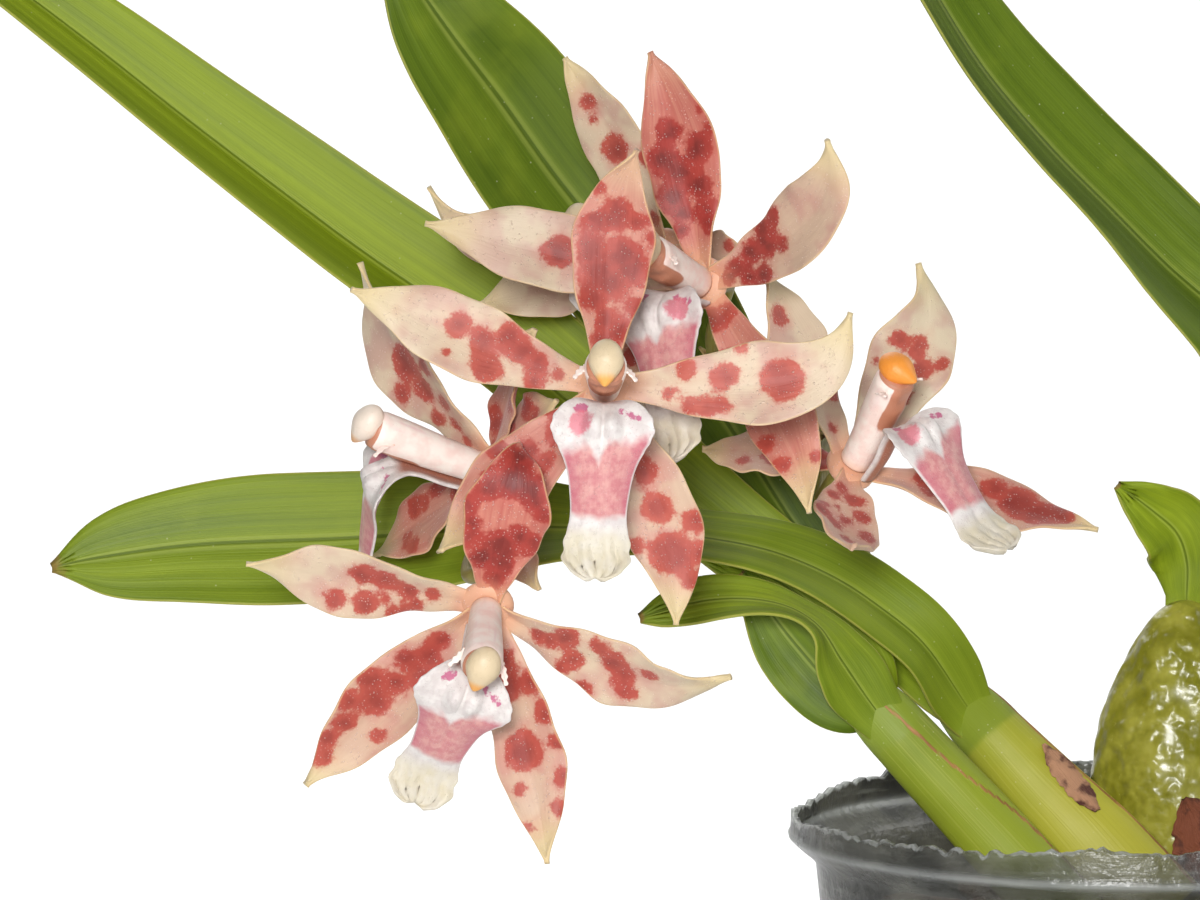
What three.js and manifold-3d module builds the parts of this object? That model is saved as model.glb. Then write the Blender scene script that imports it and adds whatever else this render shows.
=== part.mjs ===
// A potted oncidium orchid: six spotted blooms on one arching stem, leaning fans of strap leaves,
// wrinkled pseudobulbs and a clear plastic pot filled with bark.
// Millimetres, +Z up. The origin is the centre of the pot's underside; the plant leans towards -X
// and the blooms face -Y.
import * as THREE from "three";
import { mergeVertices } from "three/addons/utils/BufferGeometryUtils.js";
import Module from "manifold-3d";

const wasm = await Module();
wasm.setup();

// Driving sizes
const GAP = 0.3; // clearance between two pieces that touch
const POT = {
  baseRadius: 30,
  neckRadius: 37.3,
  lipRadius: 40.4,
  neckHeight: 67.6,
  lipHeight: 71.3,
  rimHeight: 75.2,
  wall: 0.9,
  floor: 1.6,
  segments: 36,
  jag: 0.3, // how far the torn rim rises and falls
};
const BARK = {
  top: 59,
  chips: 10,
  reach: 31, // how far from the axis the chips lie
  length: [9, 17],
  width: [5, 10],
  height: [3, 5.5],
};
const DRAIN = { holes: 4, radius: 3, ring: 18 };
const RHIZOME_RADIUS = 3;
const ROOT_RADIUS = 1.3;
const ROOM = { rhizome: 0.5, root: 0.6, bulb: 0.45, shoot: 0.5 }; // hollows left in the bark
const WELL = { top: 7, bottom: 6.4, height: 14, middle: 64 }; // the dip in the bark round a shoot
const STEM_HOLE = { radius: 2.4, height: 14, shift: [-0.3, 0.1] };
const LEAF_THICKNESS = 1.1;
const TEPAL_THICKNESS = 0.8;
const LIP_THICKNESS = 0.9;
const DRY_THICKNESS = 0.7;
const HUB = { radius: 3.2, back: -1.4, front: 0.8 };
const COLUMN_LENGTH = 14.5;
const CAP = { half: [2.15, 2.75, 1.9], up: 1.8, out: 1, nod: 0.25 };
const WING = { size: [2.6, 0.7, 1.5], side: 2.6, up: 1.2, back: 1.6, tilt: 0.6 };
const STEM_RADIUS = 1.4;
const PEDICEL_RADIUS = 1.0;
const BRACT = { radius: 1.6, length: 6.5 }; // at the foot of each bloom's stalk

const COLOURS = {
  pot: 0x8d9296,
  bark: 0x4a3326,
  root: 0x8a7a5c,
  bulb: 0x93992c,
  sheath: 0xb4bb3e,
  leaf: 0x7d942c,
  dry: 0xb08a68,
  stem: 0x8f8f3c,
  tepal: 0xd9a08a,
  lip: 0xf0dfe0,
  column: 0xf4e4cf,
};

// Small helpers
const vec = (p) => new THREE.Vector3(...p);
const rad = THREE.MathUtils.degToRad;
const clamp01 = (x) => Math.min(1, Math.max(0, x));
const ease = (x) => clamp01(x) ** 2 * (3 - 2 * clamp01(x));

function seeded(seed) {
  // A small linear congruential generator, so that every run draws the same numbers.
  let state = seed;
  return () => {
    state = (state * 1664525 + 1013904223) % 4294967296;
    return state / 4294967296;
  };
}

function table(points) {
  // A smooth curve through [t, value] pairs: cubic between them, slopes taken from the neighbours.
  const slope = (i) => {
    const a = points[Math.max(0, i - 1)];
    const b = points[Math.min(points.length - 1, i + 1)];
    return (b[1] - a[1]) / (b[0] - a[0]);
  };
  return (t) => {
    let i = 0;
    while (i < points.length - 2 && t > points[i + 1][0]) i++;
    const [t0, v0] = points[i];
    const [t1, v1] = points[i + 1];
    const h = t1 - t0;
    const x = clamp01((t - t0) / h);
    const x2 = x * x;
    const x3 = x2 * x;
    return (
      v0 * (2 * x3 - 3 * x2 + 1) +
      slope(i) * h * (x3 - 2 * x2 + x) +
      v1 * (3 * x2 - 2 * x3) +
      slope(i + 1) * h * (x3 - x2)
    );
  };
}

// Solids: joining and cutting
function solid(geometry) {
  const bare = geometry.clone();
  bare.deleteAttribute("normal");
  bare.deleteAttribute("uv");
  const merged = mergeVertices(bare, 1e-4);
  const vertProperties = new Float32Array(merged.getAttribute("position").array);
  const triVerts = new Uint32Array(merged.index.array);
  return new wasm.Manifold(new wasm.Mesh({ numProp: 3, vertProperties, triVerts }));
}

function geometryOf(manifold) {
  const bodies = manifold.decompose().sort((a, b) => b.volume() - a.volume());
  const mesh = bodies[0].getMesh(); // a loose scrap left by a cut is dropped
  const geometry = new THREE.BufferGeometry();
  const position = new THREE.BufferAttribute(new Float32Array(mesh.vertProperties), 3);
  geometry.setAttribute("position", position);
  geometry.setIndex(new THREE.BufferAttribute(new Uint32Array(mesh.triVerts), 1));
  return geometry;
}

function fuse(geometries) {
  return geometryOf(geometries.map(solid).reduce((all, next) => all.add(next)));
}

// A thin closed blade. at(t) is its midline, face(t) the way its upper side looks, half(t) its half
// width and fold(t) how far each half is raised, in radians. ripple(t, v) lifts the surface.
function blade({ at, face, half, fold, ripple, thickness, rows, cols }) {
  const step = 0.01;
  const middle = [];
  for (let i = 0; i <= rows; i++) {
    const t = i / rows;
    const centre = at(t);
    const tangent = at(Math.min(1, t + step)).sub(at(Math.max(0, t - step))).normalize();
    const up = face(t);
    up.addScaledVector(tangent, -up.dot(tangent)).normalize();
    const side = new THREE.Vector3().crossVectors(tangent, up);
    for (let j = 0; j <= cols; j++) {
      const v = (2 * j) / cols - 1;
      const reach = half(t) * Math.abs(v);
      middle.push(
        centre
          .clone()
          .addScaledVector(side, Math.sign(v) * reach * Math.cos(fold(t)))
          .addScaledVector(up, reach * Math.sin(fold(t)) + ripple(t, v)),
      );
    }
  }
  const cell = (i, j) => i * (cols + 1) + j;
  const upper = [];
  const lower = [];
  for (let i = 0; i <= rows; i++) {
    for (let j = 0; j <= cols; j++) {
      const along = middle[cell(Math.min(rows, i + 1), j)]
        .clone()
        .sub(middle[cell(Math.max(0, i - 1), j)]);
      const across = middle[cell(i, Math.min(cols, j + 1))]
        .clone()
        .sub(middle[cell(i, Math.max(0, j - 1))]);
      const normal = across.cross(along).normalize();
      const v = (2 * j) / cols - 1;
      const offset = (thickness / 2) * (1 - 0.25 * v * v);
      upper.push(middle[cell(i, j)].clone().addScaledVector(normal, offset));
      lower.push(middle[cell(i, j)].clone().addScaledVector(normal, -offset));
    }
  }
  const index = [];
  const under = upper.length;
  const quad = (a, b, c, d) => index.push(a, b, c, a, c, d);
  for (let i = 0; i < rows; i++) {
    for (let j = 0; j < cols; j++) {
      const [a, b, c, d] = [cell(i, j), cell(i, j + 1), cell(i + 1, j + 1), cell(i + 1, j)];
      index.push(a, b, c, a, c, d);
      index.push(under + a, under + c, under + b, under + a, under + d, under + c);
    }
    const [l0, l1] = [cell(i, 0), cell(i + 1, 0)];
    const [r0, r1] = [cell(i, cols), cell(i + 1, cols)];
    quad(l0, l1, under + l1, under + l0);
    quad(r1, r0, under + r0, under + r1);
  }
  for (let j = 0; j < cols; j++) {
    const [s0, s1] = [cell(0, j), cell(0, j + 1)];
    const [e0, e1] = [cell(rows, j), cell(rows, j + 1)];
    quad(s1, s0, under + s0, under + s1);
    quad(e0, e1, under + e1, under + e0);
  }
  const geometry = new THREE.BufferGeometry().setFromPoints([...upper, ...lower]);
  geometry.setIndex(index);
  return geometry;
}

// A closed body of elliptical rings along a curve. radii(t) gives the two half axes, and the first
// one lies in the direction wide.
function loft({ at, wide, radii, rows, sides }) {
  const points = [];
  for (let i = 0; i <= rows; i++) {
    const t = i / rows;
    const step = 0.01;
    const tangent = at(Math.min(1, t + step)).sub(at(Math.max(0, t - step))).normalize();
    const across = vec(wide).addScaledVector(tangent, -vec(wide).dot(tangent)).normalize();
    const deep = new THREE.Vector3().crossVectors(tangent, across);
    const [a, b] = radii(t);
    for (let k = 0; k < sides; k++) {
      const turn = (2 * Math.PI * k) / sides;
      points.push(
        at(t)
          .addScaledVector(across, a * Math.cos(turn))
          .addScaledVector(deep, b * Math.sin(turn)),
      );
    }
  }
  const index = [];
  for (let i = 0; i < rows; i++) {
    for (let k = 0; k < sides; k++) {
      const [a, b] = [i * sides + k, i * sides + ((k + 1) % sides)];
      index.push(a, b, b + sides, a, b + sides, a + sides);
    }
  }
  const last = rows * sides;
  for (let k = 1; k < sides - 1; k++) {
    index.push(0, k + 1, k);
    index.push(last, last + k, last + k + 1);
  }
  const geometry = new THREE.BufferGeometry().setFromPoints(points);
  geometry.setIndex(index);
  return geometry;
}

// A round rod along a curve through the given points
function rod(points, radius, sides, steps) {
  const section = new THREE.Shape();
  for (let k = 0; k < sides; k++) {
    const turn = (2 * Math.PI * k) / sides;
    const [x, y] = [radius * Math.cos(turn), radius * Math.sin(turn)];
    if (k === 0) section.moveTo(x, y);
    else section.lineTo(x, y);
  }
  const extrudePath = routeThrough(points);
  return new THREE.ExtrudeGeometry(section, { steps, extrudePath, bevelEnabled: false });
}

function routeThrough(points) {
  return new THREE.CatmullRomCurve3(points.map(vec), false, "catmullrom", 0.5);
}

const root = new THREE.Group();

function place(name, geometry, colour, group = root, roughness = 0.5) {
  const material = new THREE.MeshStandardMaterial({ color: colour, roughness, metalness: 0 });
  const mesh = new THREE.Mesh(geometry, material);
  mesh.name = name;
  group.add(mesh);
  return mesh;
}

// Pot: a turned thin shell with a flared lip and a torn rim, and four drain holes in its floor
function rimHeight(turn) {
  const left = Math.PI - Math.abs(turn);
  const dip = 1.7 * Math.exp(-((left / 0.75) ** 2)); // the cut dips on the left
  return POT.rimHeight - dip + POT.jag * (Math.sin(5 * turn + 3) + 0.6 * Math.sin(13 * turn));
}

function potGeometry() {
  const { baseRadius, neckRadius, lipRadius, neckHeight, lipHeight, wall, floor } = POT;
  const profile = [
    [0, 0],
    [baseRadius - 1, 0],
    [baseRadius, 1],
    [neckRadius, neckHeight],
    [lipRadius, lipHeight],
    [lipRadius - 0.2, POT.rimHeight],
    [lipRadius - 0.2 - wall, POT.rimHeight],
    [lipRadius - wall, lipHeight + 0.2],
    [neckRadius - wall, neckHeight + 0.3],
    [baseRadius - wall, floor],
    [0, floor],
  ];
  const shell = new THREE.LatheGeometry(
    profile.map(([r, z]) => new THREE.Vector2(r, z)),
    POT.segments,
  );
  shell.rotateX(Math.PI / 2);
  const position = shell.getAttribute("position");
  for (let i = 0; i < position.count; i++) {
    if (Math.abs(position.getZ(i) - POT.rimHeight) > 0.01) continue;
    const turn = Math.atan2(position.getY(i), position.getX(i));
    position.setZ(i, rimHeight(turn));
  }
  let pot = solid(shell);
  for (let k = 0; k < DRAIN.holes; k++) {
    const hole = new THREE.CylinderGeometry(DRAIN.radius, DRAIN.radius, 3 * floor, 8);
    const turn = (2 * Math.PI * (k + 0.5)) / DRAIN.holes;
    hole.rotateX(Math.PI / 2);
    hole.translate(DRAIN.ring * Math.cos(turn), DRAIN.ring * Math.sin(turn), floor / 2);
    pot = pot.subtract(solid(hole));
  }
  return geometryOf(pot);
}

function potInnerRadius(z) {
  const share = (z - POT.floor) / (POT.neckHeight - POT.floor);
  return POT.baseRadius - POT.wall + share * (POT.neckRadius - POT.baseRadius);
}

// Shoots: the yellow-green stems of folded sheaths that carry the leaves. at is the midline from
// the rhizome to the joint where the blades begin, and from and to are the half axes of the flat
// oval section at its two ends.
const SHOOTS = {
  shoot_front: {
    at: [
      [2.5, -6.0, 62],
      [-4.1, -5.2, 70],
      [-10.3, -2.5, 76.4],
      [-16.4, 0, 82.9],
    ],
    from: [5.9, 3.4],
    to: [3.8, 3.4],
  },
  shoot_left: {
    at: [
      [-7.5, -10.5, 62],
      [-16.5, -9.5, 71.8],
      [-22.2, -9.5, 78],
      [-28.0, -9.6, 84.3],
    ],
    from: [4.2, 2.9],
    to: [3.6, 3.1],
  },
  shoot_right: {
    at: [
      [19.0, -5.5, 62],
      [19.8, -6.2, 67],
      [20.2, -7.0, 72],
    ],
    from: [3.4, 2.8],
    to: [3.4, 2.6],
  },
};

function shootGeometry({ at, from, to }) {
  const line = routeThrough(at);
  return loft({
    at: (t) => line.getPoint(t),
    wide: [1, 0, 0.5],
    radii: (t) => [0, 1].map((k) => from[k] + (to[k] - from[k]) * t),
    rows: 5,
    sides: 12,
  });
}

// Pseudobulb: flattened, egg-shaped and wrinkled as it shrinks
const BULB = { centre: [7.3, 6, 76.5], half: [11.7, 8.5, 22.2] };

// room above zero gives the smooth hollow that the bulb sits in instead
function bulbGeometry(room = 0) {
  const ball = new THREE.SphereGeometry(1, 18, 13).rotateX(Math.PI / 2);
  const position = ball.getAttribute("position");
  for (let i = 0; i < position.count; i++) {
    const p = new THREE.Vector3().fromBufferAttribute(position, i);
    const turn = Math.atan2(p.y, p.x);
    const neck = 1 - 0.2 * ease((p.z + 0.2) / 1.2);
    const furrow = Math.sin(6 * turn + 0.3 + 2.5 * p.z) + 0.7 * Math.sin(11 * p.z + 3 * turn);
    const relief = room > 0 ? 1.03 : 1 + 0.026 * furrow * (1 - p.z * p.z);
    p.x *= neck * relief;
    p.y *= neck * relief;
    p.multiply(vec(BULB.half.map((h) => h + room))).add(vec(BULB.centre));
    position.setXYZ(i, p.x, p.y, p.z);
  }
  return ball;
}

// Rhizome and roots: a creeping stem with a seat under each shoot, and four roots that run down
// inside the pot's wall
const RHIZOME = [
  [-10, -12, 56.5],
  [-3, -8.5, 56],
  [4, -6, 56],
  [12, -6.5, 56],
  [19, -5.5, 56.5],
];
const ROOT_ENDS = [195, 240, 285, 330]; // where each root meets the wall, in degrees

function rootPath(degrees, k) {
  const start = routeThrough(RHIZOME).getPoint(0.1 + 0.26 * k);
  const onWall = (turn, z) => {
    const r = potInnerRadius(z) - ROOT_RADIUS - 1.2;
    return [r * Math.cos(rad(turn)), r * Math.sin(rad(turn)), z];
  };
  const first = onWall(degrees, 44);
  const halfway = start.clone().lerp(vec(first), 0.5);
  return [
    start.toArray(),
    [halfway.x, halfway.y, 50],
    first,
    onWall(degrees + 14, 33),
    onWall(degrees + 22, 22),
    onWall(degrees + 40, 12),
  ];
}

function shootSeat({ at, from }, grow = 0) {
  const axis = vec(at[1]).sub(vec(at[0])).normalize();
  const top = vec(at[0]).addScaledVector(axis, grow - GAP);
  const height = 5.5 + 2 * grow;
  const seat = new THREE.CylinderGeometry(from[1] + 0.4 + grow, 3 + grow, height, 8);
  const turn = new THREE.Quaternion().setFromUnitVectors(new THREE.Vector3(0, 1, 0), axis);
  return seat.translate(0, -height / 2, 0).applyQuaternion(turn).translate(top.x, top.y, top.z);
}

function rhizomeGeometry() {
  const parts = [rod(RHIZOME, RHIZOME_RADIUS, 8, 10)];
  for (const shoot of Object.values(SHOOTS)) parts.push(shootSeat(shoot));
  ROOT_ENDS.forEach((degrees, k) => parts.push(rod(rootPath(degrees, k), ROOT_RADIUS, 5, 9)));
  return fuse(parts);
}

// Bark: a plug that fills the pot, with chips lying on it, and plain holes for what stands in it
function barkGeometry() {
  const random = seeded(7);
  const plug = new THREE.LatheGeometry(
    [
      [0, POT.floor + GAP],
      [potInnerRadius(POT.floor) - 1, POT.floor + GAP],
      [potInnerRadius(BARK.top - 3) - 0.6, BARK.top - 3],
      [potInnerRadius(BARK.top) - 2.5, BARK.top],
      [0, BARK.top],
    ].map(([r, z]) => new THREE.Vector2(r, z)),
    28,
  ).rotateX(Math.PI / 2);
  let bark = solid(plug);
  const between = ([low, high]) => low + (high - low) * random();
  for (let k = 0; k < BARK.chips; k++) {
    const size = [BARK.length, BARK.width, BARK.height].map(between);
    const chip = new THREE.BoxGeometry(...size);
    chip.rotateX(0.5 * (random() - 0.5)).rotateY(0.5 * (random() - 0.5));
    chip.rotateZ(Math.PI * random());
    const reach = (BARK.reach - size[0] / 2) * Math.sqrt(random());
    const turn = 2 * Math.PI * random();
    chip.translate(reach * Math.cos(turn), reach * Math.sin(turn), BARK.top + 1.6 * random());
    bark = bark.add(solid(chip));
  }
  const fat = RHIZOME_RADIUS + ROOM.rhizome;
  bark = bark.subtract(solid(rod(RHIZOME, fat, 8, 10)));
  for (const shoot of Object.values(SHOOTS)) {
    const well = new THREE.CylinderGeometry(WELL.top, WELL.bottom, WELL.height, 10);
    well.rotateX(Math.PI / 2).translate(shoot.at[0][0], shoot.at[0][1], WELL.middle);
    bark = bark.subtract(solid(well));
    bark = bark.subtract(solid(shootSeat(shoot, ROOM.shoot)));
  }
  bark = bark.subtract(solid(bulbGeometry(ROOM.bulb)));
  ROOT_ENDS.forEach((degrees, k) => {
    const tunnel = rod(rootPath(degrees, k), ROOT_RADIUS + ROOM.root, 5, 9);
    bark = bark.subtract(solid(tunnel));
  });
  const { radius, height, shift } = STEM_HOLE;
  const [x, y, z] = STEM_ROUTE[0];
  const stemHole = new THREE.CylinderGeometry(radius, radius, height, 8).rotateX(Math.PI / 2);
  stemHole.translate(x + shift[0], y + shift[1], z - GAP + height / 2);
  bark = bark.subtract(solid(stemHole));
  for (const end of [RHIZOME[0], RHIZOME[RHIZOME.length - 1]]) {
    const room = new THREE.SphereGeometry(fat + 1, 8, 6).translate(...end);
    bark = bark.subtract(solid(room));
  }
  return geometryOf(bark);
}

// Leaves: straps folded along the midrib. The base stands on the top of a shoot, moved depth
// millimetres along Y. at is the midrib from there to the tip, width is [share, width] pairs along
// it, face the way the upper side looks at even steps from base to tip, and fold how far each half
// is raised at the base and further out, in degrees.
const LEAVES = {
  leaf_long_left: {
    shoot: "shoot_front",
    depth: -1.2,
    at: [
      [-24.7, -4.0, 94.0],
      [-30.1, -5.0, 98.6],
      [-36.0, -6.0, 102.4],
      [-43.1, -8.0, 105.4],
      [-50.7, -9.0, 107.0],
      [-59.5, -10.0, 108.0],
      [-74.6, -10.0, 108.4],
      [-92.1, -11.0, 107.4],
      [-109.4, -12.5, 106.8],
      [-120.9, -13.5, 105.4],
      [-126.4, -14.0, 104.3],
    ],
    width: [
      [0, 8.6],
      [0.1, 9.8],
      [0.25, 11],
      [0.5, 13.5],
      [0.78, 15.8],
      [0.9, 12.8],
      [0.955, 9],
      [1, 0.8],
    ],
    face: [
      [0.2, -1, 0.2],
      [0.2, -1, 0.3],
      [0.35, -0.7, 0.6],
      [0.1, -0.35, 0.95],
      [0, -0.5, 0.85],
      [0, -1, 0.4],
      [0, -1, 0.3],
      [0, -1, 0.3],
      [0, -1, 0.3],
    ],
    fold: [34, 9],
  },
  leaf_upper_left: {
    shoot: "shoot_front",
    depth: 0.6,
    at: [
      [-27.2, 3.5, 92.2],
      [-39.1, 5.0, 100.5],
      [-51.0, 6.5, 109.1],
      [-63.0, 7.0, 118.8],
      [-75.0, 7.0, 128.7],
      [-90.6, 7.0, 139.5],
      [-99.4, 7.0, 146.0],
      [-111.6, 7.0, 155.3],
      [-123.6, 6.5, 164.8],
      [-135.4, 6.0, 173.6],
      [-150.0, 3.0, 183.5],
    ],
    width: [
      [0, 8.2],
      [0.1, 9.2],
      [0.25, 13],
      [0.42, 17.4],
      [0.55, 17],
      [0.7, 14.4],
      [0.85, 11],
      [0.95, 6.5],
      [1, 1.5],
    ],
    face: [
      [0.2, -1, 0.1],
      [0.3, -0.9, 0.35],
      [0.33, -0.84, 0.43],
      [0.33, -0.84, 0.43],
      [0.33, -0.84, 0.43],
    ],
    fold: [34, 30],
  },
  leaf_upper: {
    shoot: "shoot_front",
    depth: 2.6,
    at: [
      [-24.8, 8.4, 93.6],
      [-31.7, 11.6, 98.6],
      [-38.5, 13.0, 105.6],
      [-44.0, 13.6, 113.8],
      [-50.2, 13.4, 123.1],
      [-56.2, 12.8, 133.1],
      [-62.4, 12.0, 141.5],
      [-68.6, 11.0, 149.3],
      [-74.7, 9.0, 157.9],
      [-79.9, 6.0, 164.8],
      [-84.5, 4.0, 171.3],
      [-87.6, 3.0, 175.4],
    ],
    width: [
      [0, 7.6],
      [0.1, 8],
      [0.2, 9],
      [0.3, 12.5],
      [0.45, 17],
      [0.65, 19.6],
      [0.82, 18.4],
      [0.92, 14],
      [0.975, 8],
      [1, 1],
    ],
    face: [
      [0.2, -1, 0.1],
      [0.1, -1, 0.3],
      [0.1, -1, 0.3],
    ],
    fold: [34, 14],
  },
  leaf_low_tip: {
    shoot: "shoot_left",
    depth: -1.2,
    at: [
      [-34.9, -12.6, 93.0],
      [-38.2, -14.0, 97.6],
      [-43.2, -15.5, 100.2],
      [-50.3, -16.5, 100.6],
      [-58.4, -17.5, 98.8],
    ],
    width: [
      [0, 8.4],
      [0.2, 9.2],
      [0.36, 7.6],
      [0.5, 5.6],
      [0.8, 6.4],
      [0.93, 4],
      [1, 0.8],
    ],
    face: [
      [-0.2, -1, 0.1],
      [0, -0.95, 0.3],
      [0.35, -0.45, 0.85],
      [0.1, -0.7, 0.7],
      [0, -0.85, 0.5],
    ],
    fold: [34, 10],
  },
  leaf_low_dark: {
    shoot: "shoot_left",
    depth: 0.6,
    at: [
      [-35.2, -9.2, 89.6],
      [-39.9, -8.2, 94.6],
      [-43.8, -7.8, 99.6],
      [-46.6, -7.4, 103.0],
    ],
    width: [
      [0, 7],
      [0.3, 10],
      [0.6, 10],
      [0.85, 5.6],
      [1, 0.8],
    ],
    face: [
      [-0.2, -1, 0],
      [-0.2, -1, 0.1],
      [-0.2, -1, 0.1],
    ],
    fold: [34, 14],
  },
  leaf_low_bright: {
    shoot: "shoot_left",
    depth: 2.7,
    at: [
      [-32.2, -5.0, 91.5],
      [-36.4, -3.0, 97.2],
      [-41.4, -2.6, 101.2],
      [-46.6, -2.8, 103.6],
      [-51.6, -3.6, 105.0],
    ],
    width: [
      [0, 6.8],
      [0.3, 8.4],
      [0.65, 8],
      [0.88, 4.6],
      [1, 0.8],
    ],
    face: [
      [0.1, -1, 0],
      [0.1, -1, 0.2],
      [0.1, -1, 0.2],
    ],
    fold: [34, 12],
  },
  leaf_tall_right: {
    shoot: "shoot_right",
    depth: 0,
    at: [
      [15.0, -8.5, 82.0],
      [12.0, -8.6, 92.0],
      [12.4, -7.4, 102.0],
      [14.6, -5.0, 112.5],
      [16.4, -1.6, 121.5],
      [12.8, 2.0, 130.5],
      [4.2, 5.0, 138.6],
      [-2.2, 6.0, 145.0],
      [-9.6, 6.0, 152.4],
      [-17.4, 5.0, 161.4],
      [-23.4, 4.0, 170.5],
      [-28.2, 3.0, 179.0],
      [-34.0, 1.0, 188.0],
    ],
    width: [
      [0, 6.4],
      [0.1, 9.4],
      [0.3, 13],
      [0.5, 16.5],
      [0.7, 17],
      [0.85, 13.5],
      [0.95, 7.5],
      [1, 1.5],
    ],
    face: [
      [0, -1, 0],
      [0, -1, 0],
      [0.1, -1, 0.1],
      [0.5, -0.7, 0.5],
      [0.57, -0.66, 0.49],
      [0.57, -0.66, 0.49],
    ],
    fold: [34, 25],
  },
  leaf_bulb_top: {
    shoot: "pseudobulb",
    depth: 0,
    at: [
      [5.9, 5.0, 106.6],
      [2.6, 3.8, 109.6],
      [-1.5, 2.6, 112.6],
    ],
    width: [
      [0, 4.4],
      [0.35, 9.6],
      [0.6, 9],
      [0.85, 5],
      [1, 0.8],
    ],
    face: [
      [-0.2, -1, 0.1],
      [-0.2, -1, 0.3],
      [-0.2, -1, 0.3],
    ],
    fold: [30, 20],
  },
};

function seatOf({ shoot, depth }) {
  // The leaf's base point, a gap above its shoot's top, and the way it starts out
  if (shoot === "pseudobulb") {
    const [x, y, z] = BULB.centre;
    return { foot: vec([x, y + depth, z + BULB.half[2] + GAP]), axis: vec([0, 0, 1]) };
  }
  const { at } = SHOOTS[shoot];
  const end = vec(at[at.length - 1]);
  const axis = end.clone().sub(routeThrough(at).getPoint(0.99)).normalize();
  const foot = end.clone().addScaledVector(axis, 1.6 * GAP);
  foot.y += depth;
  return { foot, axis };
}

function leafGeometry(leaf) {
  const { foot, axis } = seatOf(leaf);
  const start = [foot, foot.clone().addScaledVector(axis, 4)].map((p) => p.toArray());
  const line = routeThrough([...start, ...leaf.at]);
  const wide = table(leaf.width);
  const facing = (t) => {
    const x = t * (leaf.face.length - 1);
    const i = Math.min(leaf.face.length - 2, Math.floor(x));
    return vec(leaf.face[i]).normalize().lerp(vec(leaf.face[i + 1]).normalize(), x - i);
  };
  const [closed, open] = leaf.fold;
  return blade({
    at: (t) => line.getPointAt(t),
    face: facing,
    half: (t) => wide(t) / 2,
    fold: (t) => rad(closed + (open - closed) * ease(2.4 * t)),
    ripple: () => 0,
    thickness: LEAF_THICKNESS,
    rows: leaf.at.length + 4,
    cols: 4,
  });
}

// Blooms: centre is where the tepals meet, look the way the face points and dorsal roughly the way
// the upper sepal rises. Each tepal is [angle, length, width, lift, bend, sweep, hook, curl,
// twist], lengths in millimetres and the rest in degrees: angle runs anticlockwise from the
// bloom's right, lift is forward of its plane, bend adds to the lift along the length and curl
// near the tip, sweep and hook turn it within the plane, along its length and near the tip.
const BLOOMS = {
  bloom_1: {
    centre: [-62.5, -48, 127.3],
    look: [0, -1, 0.05],
    dorsal: [0.05, 0, 1],
    tepals: [
      [91, 25.5, 9.2, 6, 0, -6, -16, 26, 0],
      [1, 29.5, 9.2, 8, -6, 12, 66, 6, -8],
      [168, 28.5, 8.8, 8, -4, -18, 12, 10, 10],
      [-60, 26.5, 8.6, -4, -6, -16, -14, 14, 0],
      [-137, 25, 8.6, -6, -4, 0, 0, 50, 0],
    ],
    route: [
      [-59.4, -18, 118.6],
      [-61.2, -32, 123.6],
    ],
  },
  bloom_2: {
    centre: [-51.5, -27, 137.8],
    look: [-0.42, -0.88, 0.1],
    dorsal: [-0.05, 0.1, 1],
    tepals: [
      [91, 25.6, 9.6, 10, 4, 8, 10, 0, 0],
      [10, 28, 9.2, 18, 10, 34, 40, 10, -10],
      [165, 31, 9.2, 24, 6, -2, 2, 0, 8],
      [-56, 29, 8.6, 4, 2, -10, -16, 0, 0],
      [-128, 14, 8, 8, 0, 6, 0, 0, 0],
    ],
    route: [[-50.1, -17, 131]],
  },
  bloom_3: {
    centre: [-75.4, -46, 103.1],
    look: [-0.07, -0.86, -0.48],
    dorsal: [0.36, -0.4, 0.85],
    tepals: [
      [100, 20.5, 9.6, 8, -20, 0, 0, -80, 0],
      [-8, 28, 8.6, 8, -6, 16, 40, 6, 16],
      [188, 25.5, 8.8, 4, -4, 4, 0, 4, 0],
      [-49, 28.5, 8.2, 18, 26, -4, -4, 4, 6],
      [-116, 28, 9.2, 8, 16, 6, -4, 4, 0],
    ],
    route: [
      [-76.8, -28, 108.2],
      [-77.6, -36, 105.6],
    ],
  },
  bloom_4: {
    centre: [-75.6, -31, 117],
    look: [-0.93, -0.29, 0.21],
    dorsal: [0.1, -0.5, 0.85],
    tepals: [
      [96, 17, 8.6, 4, 0, 0, 0, -10, 0],
      [66, 15, 8, -4, -6, 0, 0, 0, 0],
      [157, 27.5, 11, 46, -12, -6, -28, -8, 6],
      [-30, 14, 8, -24, -8, 0, 0, 0, 0],
      [-115, 22.5, 8.4, 12, 6, 0, 0, 0, 0],
    ],
    route: [[-70, -23, 118]],
  },
  bloom_5: {
    centre: [-34.3, -21, 116.6],
    look: [0.42, -0.65, 0.63],
    dorsal: [-0.62, 0.35, 0.7],
    tepals: [
      [88, 24, 8.6, 20, 4, 0, 4, 0, 0],
      [28, 26, 9.8, 26, 8, 2, 60, 0, 0],
      [128, 16, 8.4, -24, -6, 0, 0, 0, 0],
      [-52, 28, 8.8, 16, 4, -6, -6, 6, 0],
      [-143, 19, 8.8, 10, 8, 0, 0, 40, 0],
    ],
    route: [
      [-36.5, -6, 117.5],
      [-37, -13, 114],
    ],
  },
  bloom_6: {
    centre: [-55.6, -8, 140.5],
    look: [-0.6, -0.78, 0.08],
    dorsal: [-0.35, 0.1, 0.95],
    tepals: [
      [90, 24.5, 8.6, 18, 6, 4, 6, 0, 0],
      [-26, 12, 7.4, 0, 0, 0, 0, 0, 0],
      [158, 29.5, 6.4, 34, 0, 2, -76, 0, 0],
      [-124, 14, 8, -25, -6, 0, 0, 0, 0],
      [176, 23, 8.2, 16, 6, 4, 0, 0, 0],
    ],
    route: [[-48.5, -4.5, 132.5]],
  },
};

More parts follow.
